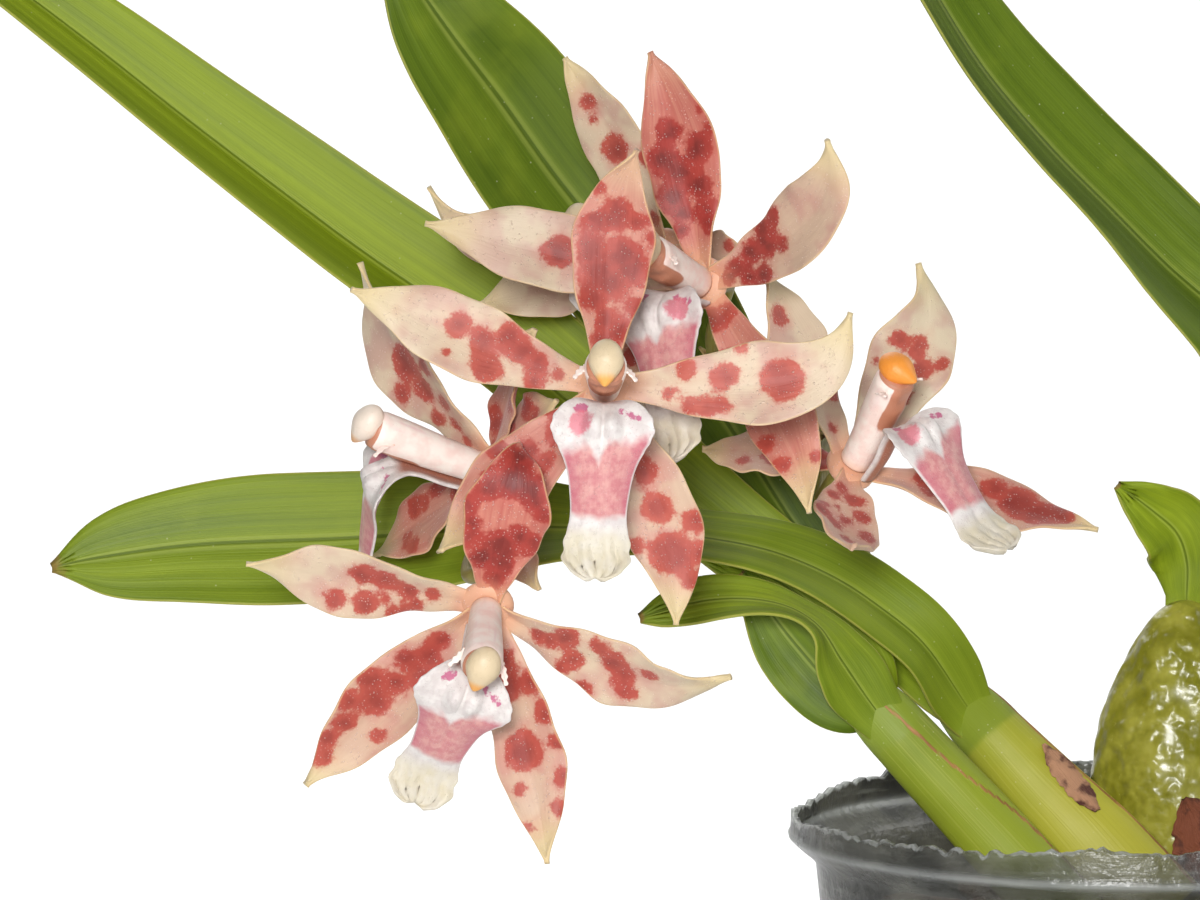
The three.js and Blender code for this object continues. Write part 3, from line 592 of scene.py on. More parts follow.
class Graph:
    """The node tree of one material."""

    def __init__(self, name: str) -> None:
        """Starts an empty material.

        Args:
            name: The material's name.
        """
        self.material = bpy.data.materials.new(name)
        self.material.use_nodes = True
        self.tree = self.material.node_tree
        self.tree.nodes.clear()

    def node(
        self,
        kind: str,
        settings: dict[str, object] | None = None,
        sockets: dict[int | str, object] | None = None,
        output: int | str = 0,
    ) -> Signal:
        """Adds a node.

        Args:
            kind: The node's type.
            settings: Its properties, set before the sockets.
            sockets: Values or signals for its inputs.
            output: The output that is returned.

        Returns:
            The chosen output.
        """
        made = self.tree.nodes.new(kind)
        for key, value in (settings or {}).items():
            setattr(made, key, value)
        for key, value in (sockets or {}).items():
            if isinstance(value, Signal):
                self.tree.links.new(value.socket, made.inputs[key])
            else:
                made.inputs[key].default_value = value
        return Signal(self, made.outputs[output])

    def finished(self, shader: Signal) -> bpy.types.Material:
        """Links a shader to a new output node and hands over the material.

        Args:
            shader: The finished shader.

        Returns:
            The material.
        """
        end = self.tree.nodes.new("ShaderNodeOutputMaterial")
        self.tree.links.new(shader.socket, end.inputs["Surface"])
        return self.material

    def mix(self, share: Signal | float, first: object, second: object) -> Signal:
        """Mixes two colours, the second by the share."""
        sockets = {0: share, 6: first, 7: second}
        return self.node("ShaderNodeMix", {"data_type": "RGBA"}, sockets, 2)

    def place(self) -> Signal:
        """Gives the point on the object, in metres."""
        return self.node("ShaderNodeTexCoord", output="Object")

    def surface(self) -> tuple[Signal, Signal]:
        """Gives the share along the piece and the share across it from -1 to 1.

        Returns:
            Both shares.
        """
        pair = self.node("ShaderNodeUVMap", {"uv_map": "surface"})
        split = self.node("ShaderNodeSeparateXYZ", {}, {0: pair})
        across = Signal(self, split.socket.node.outputs["Y"])
        return split, across * 2.0 - 1.0

    def mark(self, name: str) -> Signal:
        """Gives one of the numbers stored at the piece's points."""
        return self.node("ShaderNodeAttribute", {"attribute_name": name}, output="Fac")

    def scaled(self, vector: Signal, scale: Triple) -> Signal:
        """Multiplies a vector by three numbers, one a direction."""
        return self.node("ShaderNodeVectorMath", {"operation": "MULTIPLY"}, {0: vector, 1: scale})

    def stretched(self, along: float, across: float) -> Signal:
        """Gives the piece's own map with each direction scaled, for streaks."""
        pair = self.node("ShaderNodeUVMap", {"uv_map": "surface"})
        return self.scaled(pair, (along, across, 1.0))

    def noise(self, size: float, detail: float = 2.0, where: Signal | None = None) -> Signal:
        """Gives soft noise of 0 to 1 with lumps of a size in millimetres.

        Args:
            size: The lumps' size.
            detail: How many finer layers it has.
            where: The place, unless it is the point on the object.

        Returns:
            The noise.
        """
        sockets = {
            "Vector": where or self.place(),
            "Scale": 1.0 / (size * (1.0 if where else MM)),
            "Detail": detail,
            "Roughness": 0.55,
        }
        return self.node("ShaderNodeTexNoise", {}, sockets)

    def cells(self, size: float) -> Signal:
        """Gives the distance to the nearest of scattered points, a size in millimetres apart."""
        sockets = {"Vector": self.place(), "Scale": 1.0 / (size * MM)}
        return self.node("ShaderNodeTexVoronoi", {}, sockets, "Distance")


@dataclass
class Look:
    """What a finish works out for each point of a surface."""

    colour: Signal | Colour
    roughness: Signal | float = 0.5
    relief: Signal | None = None
    relief_depth: float = 0.1
    alpha: Signal | float = 1.0


@dataclass(frozen=True)
class Finish:
    """A surface's material; the fields are the numbers that are the same all over it."""

    name: str
    specular: float = 0.5
    coat: float = 0.0
    coat_roughness: float = 0.1
    sheen: float = 0.0

    def look(self, graph: Graph) -> Look:
        """Works out what varies over the surface.

        Args:
            graph: The material's nodes.

        Returns:
            The look.
        """
        raise NotImplementedError

    @cache
    def material(self) -> bpy.types.Material:
        """Builds the material, once for each finish.

        Returns:
            The material, with a Principled shader and a Bump node where there is relief.
        """
        graph = Graph(self.name)
        look = self.look(graph)
        sockets: dict[int | str, object] = {
            "Base Color": look.colour,
            "Roughness": look.roughness,
            "Alpha": look.alpha,
            "Specular IOR Level": self.specular,
            "Coat Weight": self.coat,
            "Coat Roughness": self.coat_roughness,
            "Sheen Weight": self.sheen,
        }
        if look.relief:
            bump = {"Strength": 1.0, "Distance": look.relief_depth * MM, "Height": look.relief}
            sockets["Normal"] = graph.node("ShaderNodeBump", {}, bump)
        shader = graph.node("ShaderNodeBsdfPrincipled", {}, sockets)
        return graph.finished(shader)


@dataclass(frozen=True)
class TepalFinish(Finish):
    """Cream to rose, with crimson blotches, an orange foot, a pale margin and sparkling cells whose white
    glints are painted highlights.
    """

    def look(self, graph: Graph) -> Look:
        """Works out the look from the marks spots, blush and the piece's map."""
        along, across = graph.surface()
        wander = (graph.noise(2.6, 2.0) - 0.5) * 2.2 + (graph.noise(0.9, 3.0) - 0.5) * 1.2
        spots = graph.mark("spots") + wander * 0.75 + (graph.noise(0.3) - 0.5) * 0.7
        blotch = spots.step(-0.3, 0.25)
        heart = (graph.mark("spots") + (graph.noise(1.5, 3.0) - 0.5) * 2.4).step(0.1, 1.6)
        cloud = graph.noise(4.0, 2.0)
        cream = graph.mix(cloud.step(0.4, 0.62), screen(212, 196, 168), screen(200, 168, 150))
        streaks = graph.noise(1.0, 2.0, graph.stretched(2.2, 15.0))
        rose = graph.mix((streaks + cloud * 0.6).step(0.6, 1.0), screen(184, 84, 74), screen(200, 122, 104))
        ground = graph.mix(graph.mark("blush"), cream, rose)
        tip = (along + (cloud - 0.5) * 0.16).step(0.72, 0.98) * graph.mark("tip")
        ground = ground.washed(tip * 0.85, 214, 196, 146)
        foot = (along + (cloud - 0.5) * 0.1).step(0.17, 0.03)
        ground = ground.washed(foot * 0.85, 222, 164, 130)
        halo = (spots + (cloud - 0.5) * 1.6).step(-1.5, 0.2)
        ground = ground.washed(halo * 0.22, 200, 104, 90)
        rich = (graph.mark("rich") + (cloud - 0.5) * 0.7).least(1.0).most(0.0)
        light = graph.mix(rich, screen(190, 80, 62), screen(160, 42, 34))
        dark = graph.mix(rich, screen(168, 52, 40), screen(108, 16, 13))
        red = graph.mix(heart, light, dark)
        red = red.washed(streaks.step(0.45, 0.75) * 0.3, 166, 50, 46)
        colour = graph.mix(blotch * (0.94 - foot * 0.4), ground, red)
        margin = (across.size() + (cloud - 0.5) * 0.05).step(0.945, 0.985)
        colour = colour.washed(margin * 0.5, 216, 186, 134)
        glint = graph.cells(0.36).step(0.32, 0.05) * graph.noise(1.1).step(0.4, 0.6)
        # Painted highlight: the sparkling cells are washed towards white as glints.
        colour = colour.washed(glint * 0.5, 255, 232, 222)
        relief = glint * 0.8 + streaks * 0.5
        return Look(colour, 0.52 - glint * 0.24, relief, 0.1)


@dataclass(frozen=True)
class LipFinish(Finish):
    """White with a rose-pink middle, a cream end, a brown throat, magenta flecks and faint painted white
    glints.
    """

    def look(self, graph: Graph) -> Look:
        """Works out the bands along the lip from its map, with wandering borders."""
        along, across = graph.surface()
        wander = (graph.noise(2.2, 2.0) - 0.5) * 0.09
        wide = across.size()
        notch = (0.22 - (across - 0.06).size()).most(0.0) * 0.26
        start = along + wander - across * 0.035 - notch
        pink = start.step(0.46, 0.51) * (along + wander * 0.7).step(0.78, 0.74)
        streaks = graph.noise(1.0, 2.0, graph.stretched(2.0, 30.0))
        mottle = graph.noise(0.9, 3.0) * 0.8 + streaks * 0.2
        rosy = graph.mix(mottle.step(0.34, 0.66), screen(200, 124, 128), screen(214, 158, 152))
        rosy = rosy.washed(wide.step(0.5, 0.92) * 0.5, 188, 84, 112)
        white = graph.mix(graph.noise(1.2).step(0.35, 0.65), screen(226, 220, 216), screen(212, 203, 200))
        end = along.step(0.78, 0.86)
        ruffle = graph.noise(1.6).step(0.3, 0.7) * 0.6
        tip = graph.mix(ruffle, screen(216, 208, 192), screen(208, 196, 164))
        base = graph.mix(end, white, tip)
        colour = graph.mix(pink * wide.step(0.99, 0.9), base, rosy)
        ragged = (graph.noise(0.5, 2.0) - 0.5) * 0.9
        flecks = (graph.mark("spots") + ragged).step(0.0, 0.22)
        colour = colour.washed(flecks * 0.85, 186, 70, 120)
        patch = (graph.mark("patch") + ragged).step(-0.2, 0.3)
        colour = colour.washed(patch * 0.85, 212, 112, 128)
        throat = along.step(0.335, 0.29) * wide.step(0.9, 0.5)
        colour = colour.washed(throat, 172, 108, 84)
        glint = graph.cells(0.3).step(0.32, 0.06)
        # Painted highlight: the glint cells are washed a little towards white.
        colour = colour.washed(glint * 0.1, 255, 246, 246)
        return Look(colour, 0.52 - glint * 0.2, glint * 0.6 + streaks * 0.12, 0.08)


@dataclass(frozen=True)
class ColumnFinish(Finish):
    """Pinkish white, with a cream cap that turns orange at its point, and a brown hollow."""

    cap: Colour = screen(218, 197, 162)
    point: Colour = screen(236, 168, 84)

    def look(self, graph: Graph) -> Look:
        """Works out the look from the marks cap, point and hollow."""
        along, _ = graph.surface()
        soft = graph.noise(1.8, 2.0)
        body = graph.mix(soft.step(0.35, 0.65), screen(250, 238, 228), screen(246, 222, 212))
        foot = along.step(0.14, 0.0)
        body = body.washed(foot * 0.6, 240, 190, 158)
        streak = (graph.noise(1.0, 1.0, graph.stretched(2.0, 5.0))).step(0.56, 0.75)
        body = body.washed(streak * 0.25, 216, 136, 158)
        hollow = graph.mark("hollow") + (soft - 0.5) * 0.3
        body = body.washed(hollow.step(0.4, 0.65) * 0.9, 186, 112, 74)
        cap = graph.mix(graph.mark("point").step(0.5, 0.85), self.cap, self.point)
        colour = graph.mix(graph.mark("cap").step(0.4, 0.6), body, cap)
        glint = graph.cells(0.3).step(0.3, 0.05)
        return Look(colour, 0.45 - glint * 0.15, glint * 0.5 + soft * 0.5, 0.06)


@dataclass(frozen=True)
class LeafFinish(Finish):
    """Green with fine lengthwise veins, a grooved midrib in painted shade between painted highlights, a
    pale rim painted as a highlight and a yellower foot.
    """

    bright: Colour = screen(138, 156, 40)
    deep: Colour = screen(88, 110, 16)
    foot: Colour = screen(132, 148, 36)
    # The pale rim colour is a painted highlight of the leaf's curved edge catching light.
    rim: Colour = screen(160, 160, 70)

    def look(self, graph: Graph) -> Look:
        """Works out the look from the leaf's own map, so that the veins follow it."""
        along, across = graph.surface()
        veins = graph.noise(1.0, 2.0, graph.stretched(1.2, 60.0))
        broad = graph.noise(1.0, 2.0, graph.stretched(2.5, 5.0))
        shade = (veins - 0.5) * 0.8 + (broad - 0.5) * 1.6 + 0.5
        colour = graph.mix(shade.least(1.0).most(0.0), self.deep, self.bright)
        patch = graph.noise(9.0, 3.0).step(0.5, 0.72)
        colour = graph.mix(patch * 0.3, colour, self.foot)
        wide = across.size()
        midrib = wide.step(0.05, 0.015)
        beside = wide.step(0.14, 0.05) * (1.0 - midrib)
        # Painted shade darkens the midrib's groove, and painted highlights lighten the bands beside it.
        colour = colour.washed(midrib * 0.55, 74, 92, 20)
        colour = colour.washed(beside * 0.3, 178, 190, 90)
        low = (along + (broad - 0.5) * 0.1).step(0.14, 0.0)
        colour = graph.mix(low * 0.8, colour, self.foot)
        # Painted highlight: a pale line along the margin, where the curved edge catches light.
        rim = (wide + (graph.noise(6.0) - 0.5) * 0.03).step(0.965, 0.99)
        colour = graph.mix(rim * 0.8, colour, self.rim)
        dry = (along + (graph.noise(1.2) - 0.5) * 0.02).step(0.985, 0.997)
        colour = colour.washed(dry * 0.8, 140, 110, 60)
        dust = graph.cells(1.6).step(0.09, 0.03) * graph.noise(14.0).step(0.45, 0.6)
        colour = colour.washed(dust * 0.35, 214, 214, 180)
        underside = 1.0 - graph.mark("upper")
        colour = colour.washed(underside * 0.45, 140, 154, 64)
        roughness = 0.5 + (broad - 0.5) * 0.25 + dust * 0.2
        relief = veins * 0.55 + graph.noise(0.5) * 0.15 - midrib * 0.5
        return Look(colour, roughness, relief, 0.1)


@dataclass(frozen=True)
class SheathFinish(Finish):
    """Yellow at the foot, green past the joint, with fine lengthwise lines and brown seams."""

    low: Colour = screen(184, 180, 56)
    high: Colour = screen(150, 158, 42)

    def look(self, graph: Graph) -> Look:
        """Works out the look from the shoot's own map and its marks seam and joint."""
        along, _ = graph.surface()
        lines = graph.noise(1.0, 2.0, graph.stretched(1.0, 34.0))
        cloud = graph.noise(5.0, 2.0)
        height = (along + (cloud - 0.5) * 0.3).step(0.25, 1.0)
        colour = graph.mix(height, self.low, self.high)
        colour = colour.washed(lines.step(0.5, 0.75) * 0.25, 206, 200, 100)
        past = (graph.mark("joint") + (cloud - 0.5) * 1.2).step(-0.4, 0.6)
        colour = colour.washed(past * 0.9, 128, 146, 34)
        seam = (graph.mark("seam") + (graph.noise(1.2, 3.0) - 0.5) * 0.5).step(0.5, 0.75)
        brown = graph.mix(cloud.step(0.4, 0.6), screen(176, 120, 70), screen(146, 88, 50))
        colour = graph.mix(seam * 0.9, colour, brown)
        dust = graph.cells(1.3).step(0.1, 0.03)
        colour = colour.washed(dust * 0.3, 232, 228, 190)
        return Look(colour, 0.55 + (cloud - 0.5) * 0.2, lines * 0.5 + seam * 0.4, 0.12)


@dataclass(frozen=True)
class BulbFinish(Finish):
    """Olive-yellow glossy skin with fine wrinkles and a pale foot."""

    def look(self, graph: Graph) -> Look:
        """Works out the look; the fine wrinkles lie across the bulb."""
        along, _ = graph.surface()
        cloud = graph.noise(4.0, 3.0)
        colour = graph.mix(cloud.step(0.35, 0.68), screen(126, 124, 30), screen(164, 160, 62))
        speck = graph.noise(0.9, 2.0).step(0.62, 0.75)
        colour = colour.washed(speck * 0.35, 190, 186, 100)
        foot = (along + (cloud - 0.5) * 0.12).step(0.2, 0.06)
        colour = colour.washed(foot * 0.85, 206, 200, 158)
        wrinkles = graph.noise(2.4, 1.0) + graph.noise(1.0, 1.0) * 0.12
        return Look(colour, 0.3 + (cloud - 0.5) * 0.1, wrinkles, 1.1)


@dataclass(frozen=True)
class StemFinish(Finish):
    """Olive green to reddish brown, with fine lengthwise lines."""

    def look(self, graph: Graph) -> Look:
        """Works out the look from the stem's own map and its mark bract."""
        lines = graph.noise(1.0, 2.0, graph.stretched(6.0, 14.0))
        cloud = graph.noise(5.0, 2.0)
        colour = graph.mix(cloud.step(0.35, 0.7), screen(150, 150, 66), screen(128, 116, 56))
        colour = colour.washed(lines.step(0.5, 0.7) * 0.4, 170, 160, 90)
        dry = graph.mark("bract")
        colour = colour.washed(dry * 0.85, 206, 176, 118)
        return Look(colour, 0.5, lines, 0.1)


@dataclass(frozen=True)
class DryFinish(Finish):
    """Dry papery tissue: pinkish tan with darker purple-brown patches and fibres."""

    pale: Colour = screen(196, 146, 112)
    dark: Colour = screen(92, 50, 42)

    def look(self, graph: Graph) -> Look:
        """Works out the look from the bract's own map."""
        fibres = graph.noise(1.0, 3.0, graph.stretched(3.0, 26.0))
        cloud = graph.noise(2.6, 3.0)
        colour = graph.mix(cloud.step(0.42, 0.58), self.pale, self.dark)
        colour = graph.mix(fibres.step(0.5, 0.7) * 0.4, colour, self.pale)
        return Look(colour, 0.75, fibres + cloud * 0.5, 0.25)


@dataclass(frozen=True)
class BarkFinish(Finish):
    """Damp brown bark with fibres, darker where its grain dips and lighter where it rises."""

    def look(self, graph: Graph) -> Look:
        """Works out the look from the place and the mark tint, one number a chip."""
        grain = graph.noise(1.1, 4.0)
        cloud = graph.noise(5.0, 3.0)
        tint = graph.mark("tint")
        colour = graph.mix(cloud.step(0.3, 0.7), screen(74, 46, 30), screen(104, 64, 40))
        colour = colour.washed(tint * 0.6, 138, 92, 62)
        # Lighter where the grain noise is high and darker where it is low; the bump follows the same noise.
        colour = colour.washed(grain.step(0.55, 0.72) * 0.6, 150, 112, 84)
        colour = colour.washed(grain.step(0.42, 0.3) * 0.7, 40, 24, 16)
        return Look(colour, 0.85, grain + cloud * 0.6, 0.8)


@dataclass(frozen=True)
class RootFinish(Finish):
    """Silvery tan root skin with olive clouds and dark brown flecks."""

    def look(self, graph: Graph) -> Look:
        """Works out the look from the place."""
        cloud = graph.noise(4.0, 3.0)
        colour = graph.mix(cloud.step(0.35, 0.65), screen(168, 158, 128), screen(120, 108, 76))
        colour = colour.washed(graph.noise(0.8).step(0.5, 0.7) * 0.5, 96, 78, 54)
        return Look(colour, 0.8, cloud + graph.noise(0.6), 0.3)


@dataclass(frozen=True)
class PotFinish(Finish):
    """Hazy clear grey plastic with horizontal rubbing, a torn edge whitened partly as a painted highlight,
    a painted highlight on the ring and painted shade at the back.
    """

    def look(self, graph: Graph) -> Look:
        """Works out the look from the place and the marks torn, ring and far."""
        haze = graph.noise(7.0, 3.0)
        rubbed = graph.noise(0.9 * MM, 3.0, graph.scaled(graph.place(), (0.12, 0.12, 1.0)))
        colour = graph.mix(haze.step(0.38, 0.66), screen(60, 61, 58), screen(98, 98, 90))
        colour = colour.washed(rubbed.step(0.5, 0.7) * 0.5, 128, 130, 122)
        torn = (graph.mark("torn") + (graph.noise(1.4, 3.0) - 0.6) * 2.0).step(0.3, 0.9)
        # The whitening along the torn rim is partly stress-whitened plastic and partly a painted highlight.
        colour = colour.washed(torn * 0.55, 196, 200, 198)
        ring = graph.mark("ring")
        # Painted highlight: a pale line along the raised ring and the bead.
        colour = colour.washed(ring * 0.5, 190, 194, 192)
        # Painted shade: the back half of the shell is made nearly opaque, so its dark grey stands in for
        # the shade inside the pot.
        film = 0.5 + graph.mark("far") * 0.46
        alpha = film + (haze - 0.5) * 0.2 + torn * 0.15 + ring * 0.15 + rubbed * 0.08
        relief = haze * 1.2 + rubbed * 0.3 + graph.noise(2.0, 3.0) * 0.8
        return Look(colour, 0.3 + (haze - 0.5) * 0.2, relief, 0.35, alpha)


@dataclass(frozen=True)
class PlainFinish(Finish):
    """A plain pale surface for the studio floor and wall, clear when seen from behind."""

    colour: Colour = (0.86, 0.86, 0.86, 1.0)

    @cache
    def material(self) -> bpy.types.Material:
        """Builds the material; the sheet's back is clear, so the wall hides no view."""
        graph = Graph(self.name)
        sockets = {"Base Color": self.colour, "Roughness": 0.9}
        pale = graph.node("ShaderNodeBsdfPrincipled", {}, sockets)
        clear = graph.node("ShaderNodeBsdfTransparent")
        behind = graph.node("ShaderNodeNewGeometry", output="Backfacing")
        return graph.finished(graph.node("ShaderNodeMixShader", {}, {0: behind, 1: pale, 2: clear}))


# Pieces


class Slot(Enum):
    """The material slots."""

    POT = "pot_plastic"
    BARK = "bark"
    ROOT = "root"
    BULB = "bulb"
    SHEATH = "sheath"
    LEAF = "leaf"
    DRY = "dry_bract"
    STEM = "stem"
    TEPAL = "tepal"
    LIP = "lip"
    COLUMN = "column"


def dress(piece: bpy.types.Object, finish: Finish, slot: Slot, node: str) -> None:
    """Gives a piece its material, rides it on the plant and lets it stand for a solid.

    Args:
        piece: The new object.
        finish: Its finish.
        slot: Its material slot; not used.
        node: The solid that it stands for.
    """
    piece.data.materials.append(finish.material())
    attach(piece, "root")
    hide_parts(node)
    LOG.info("%s for %s: %d faces", piece.name, node, len(piece.data.polygons))


# Share along, share across and radius in millimetres of each spot
Spots = Points


def spot_field(spots: Spots, along: Array, across: Array, length: float, half: Curve) -> Array:
    """Works out how far each point lies inside the nearest spot.

    The piece is laid flat: a point is its share along times the length and its share across
    times the half width there. Each spot gives its radius less the distance, and the field is
    the soft maximum of them, a blend times the logarithm of the sum of the exponentials over
    the blend, so that neighbouring spots run together. It is held between -2 and 2 mm.

    Args:
        spots: Share along, share across and radius in millimetres of each spot.
        along: The points' shares along.
        across: The points' shares across.
        length: The piece's length.
        half: Its half width by share along.

    Returns:
        The field, positive inside a spot.
    """
    blend = 0.32
    total = np.full(along.shape, math.exp(-2.0 / blend))
    sideways = across * half(along)
    for share, place, radius in spots:
        middle = place * float(half(np.array([share]))[0])
        distance = np.hypot((along - share) * length, sideways - middle)
        total += np.exp(np.minimum(radius - distance, 3.0) / blend)
    return np.clip(blend * np.log(total), -2.0, 2.0)


@dataclass
class Tepal:
    """One petal or sepal: a narrow claw, a broad blade and a drawn-out tip.

    Angles are degrees. angle runs anticlockwise from the bloom's right, lift is forward of its
    plane, bend adds to the lift along the length and curl near the tip, and sweep and hook turn
    it within the plane, along its length and near the tip.
    """

    angle: float
    length: float
    width: float
    lift: float
    bend: float
    sweep: float
    hook: float
    curl: float
    twist: float
    spots: Spots = ()
    blush: float = 0.2
    rich: float = 0.5
    tip: float = 1.0

    def half(self, t: Array) -> Array:
        """Gives the half width: a claw that swells by a sine and narrows by a cosine.

        Args:
            t: Shares of the length.

        Returns:
            The half widths.
        """
        claw, peak = 0.3, 0.56
        swell = claw + (1 - claw) * np.sin(np.pi * np.minimum(t, peak) / (2 * peak)) ** 1.7
        rest = np.clip((t - peak) / (1 - peak), 0.0, 1.0)
        narrow = np.maximum(0.035, np.cos(np.pi * rest / 2) ** 1.15)
        return self.width / 2 * np.where(t < peak, swell, narrow)

    def line(self) -> tuple[Curve, Curve]:
        """Sums the midline and its facing in short steps.

        Returns:
            The midline and the upward direction as functions of the share along.
        """
        steps = 96
        t = np.linspace(0.0, 1.0, steps + 1)
        late = ease((t - 0.55) / 0.45)
        turn = np.radians(self.angle + self.sweep * t + self.hook * late)
        tilt = np.radians(self.lift + self.bend * t + self.curl * late)
        flatly = np.stack([np.cos(turn), np.sin(turn), np.zeros_like(turn)], -1)
        forward = np.array([0.0, 0.0, 1.0])
        along = flatly * np.cos(tilt)[:, None] + forward * np.sin(tilt)[:, None]
        up = forward * np.cos(tilt)[:, None] - flatly * np.sin(tilt)[:, None]
        roll = np.radians(self.twist * t)[:, None]
        up = up * np.cos(roll) + np.cross(along, up) * np.sin(roll)
        first = math.radians(self.angle)
        base = np.array([1.2 * math.cos(first), 1.2 * math.sin(first), -0.3])
        reach = np.vstack([np.zeros(3), np.cumsum(along[:-1], axis=0)]) * self.length / steps
        points = base + reach

        def sample(rows: Array) -> Curve:
            """Makes a function that reads the rows at a share."""
            return lambda s: np.stack([np.interp(s, t, rows[:, k]) for k in range(3)], -1)

        return sample(points), sample(up)

    def skin(self, number: int) -> Skin:
        """Builds the tepal with its waved margin.

        Args:
            number: Its place among the bloom's tepals, which shifts the waves.

        Returns:
            The skin with the marks spots, blush, rich and tip.
        """
        midline, facing = self.line()

        def relief(t: Array, v: Array) -> Array:
            """Waves the margin by a slow and a fine sine of the length."""
            slow = 0.6 * v * v * np.sin(9.5 * t + 1.7 * number + np.sign(v))
            fine = 0.2 * v**4 * np.sin(31 * t + 2.3 * number + 2 * np.sign(v))
            return slow + fine

        blade = Blade(
            midline=midline, facing=facing,
            half=lambda t: self.half(t) * (1 + 0.035 * np.sin(23 * t + 2 * number) * ease(t / 0.3)),
            fold=lambda t: np.radians(16 - 10 * t), thickness=0.55, rows=72, around=44,
            relief=relief,
        )
        skin = blade.skin()
        field_of_spots = spot_field(self.spots, skin.along, skin.across, self.length, self.half)
        return skin.marked(spots=field_of_spots, blush=self.blush, rich=self.rich, tip=self.tip)


@dataclass
class Lip:
    """The lip: a claw, broad side lobes with a twin crest, a waist and a ruffled notched end."""

    route: Points = (
        (0, -2.75, 1.1), (0, -2.6, 4.6), (0, -2.0, 8.2), (0, -2.6, 10.8), (0, -6.6, 12.1),
        (0, -11.6, 11.2), (0, -16.4, 10.0), (0, -20.6, 10.8),
    )
    spots: Spots = (
        (0.355, 0.62, 0.5), (0.35, 0.45, 0.45), (0.36, -0.4, 0.5), (0.375, -0.62, 0.4),
        (0.385, -0.75, 0.35), (0.365, 0.05, 0.25),
    )

    def half(self, t: Array) -> Array:
        """Gives the half width, toothed along the side lobes and ruffled at the end.

        Args:
            t: Shares of the length.

        Returns:
            The half widths.
        """
        shape = table([
            (0, 1.5), (0.27, 2.0), (0.32, 3.4), (0.36, 4.8), (0.4, 5.45), (0.44, 5.5),
            (0.48, 4.9), (0.55, 4.15), (0.7, 3.35), (0.78, 3.2), (0.86, 3.6), (0.94, 3.5),
            (0.975, 2.6), (1, 1.1),
        ])
        teeth = 0.08 * np.sin(150 * t) * ease((t - 0.32) / 0.06) * ease((0.52 - t) / 0.05)
        frill = 0.14 * np.sin(96 * t + 1) * ease((t - 0.8) / 0.08)
        return shape(t) + teeth + frill

    def relief(self, t: Array, v: Array) -> Array:
        """Raises two crests on the upper part and ruffles the end.

        Args:
            t: Shares of the length.
            v: Shares of the half width.

        Returns:
            The rise in millimetres.
        """
        crest = hump(np.abs(v), 0.17, 0.14) * hump(t, 0.42, 0.05)
        ridge = 0.2 * hump(np.abs(v), 0.2, 0.12) * ease((t - 0.3) / 0.06) * ease((0.46 - t) / 0.05)
        ruffle = 0.45 * ease((t - 0.8) / 0.15) * np.sin(6 * v + 1) * v * v
        fine = 0.16 * ease((t - 0.82) / 0.1) * np.sin(17 * v + 30 * t)
        lobes = 0.5 * ease((np.abs(v) - 0.6) / 0.4) * hump(t, 0.42, 0.07)
        channel = -0.35 * hump(v, 0, 0.22) * ease((t - 0.5) / 0.1)
        return 1.5 * crest + ridge + ruffle + fine + lobes + channel

    def skin(self, pink_patch: float) -> Skin:
        """Builds the lip.

        Args:
            pink_patch: The share across at which a pink patch lies on the side lobe.

        Returns:
            The skin with the marks spots and patch.
        """
        line = Route(self.route)
        folds = table([(0, 20), (0.3, 18), (0.42, 6), (0.6, -22), (0.85, -12), (1, 8)])
        blade = Blade(
            midline=line.along, facing=lambda t: np.cross([-1.0, 0.0, 0.0], heading(line.along, t)),
            half=self.half, fold=lambda t: np.radians(folds(t)), thickness=0.6, rows=110, around=72,
            relief=self.relief, crease=0.3,
            pull=lambda t, v: -1.3 * hump(v, 0, 0.2) * ease((t - 0.86) / 0.14),
        )
        skin = blade.skin()
        flat_map = (skin.along, skin.across, line.length, self.half)
        flecks = spot_field(self.spots, *flat_map)
        return skin.marked(spots=flecks, patch=spot_field(((0.405, pink_patch, 1.35),), *flat_map))


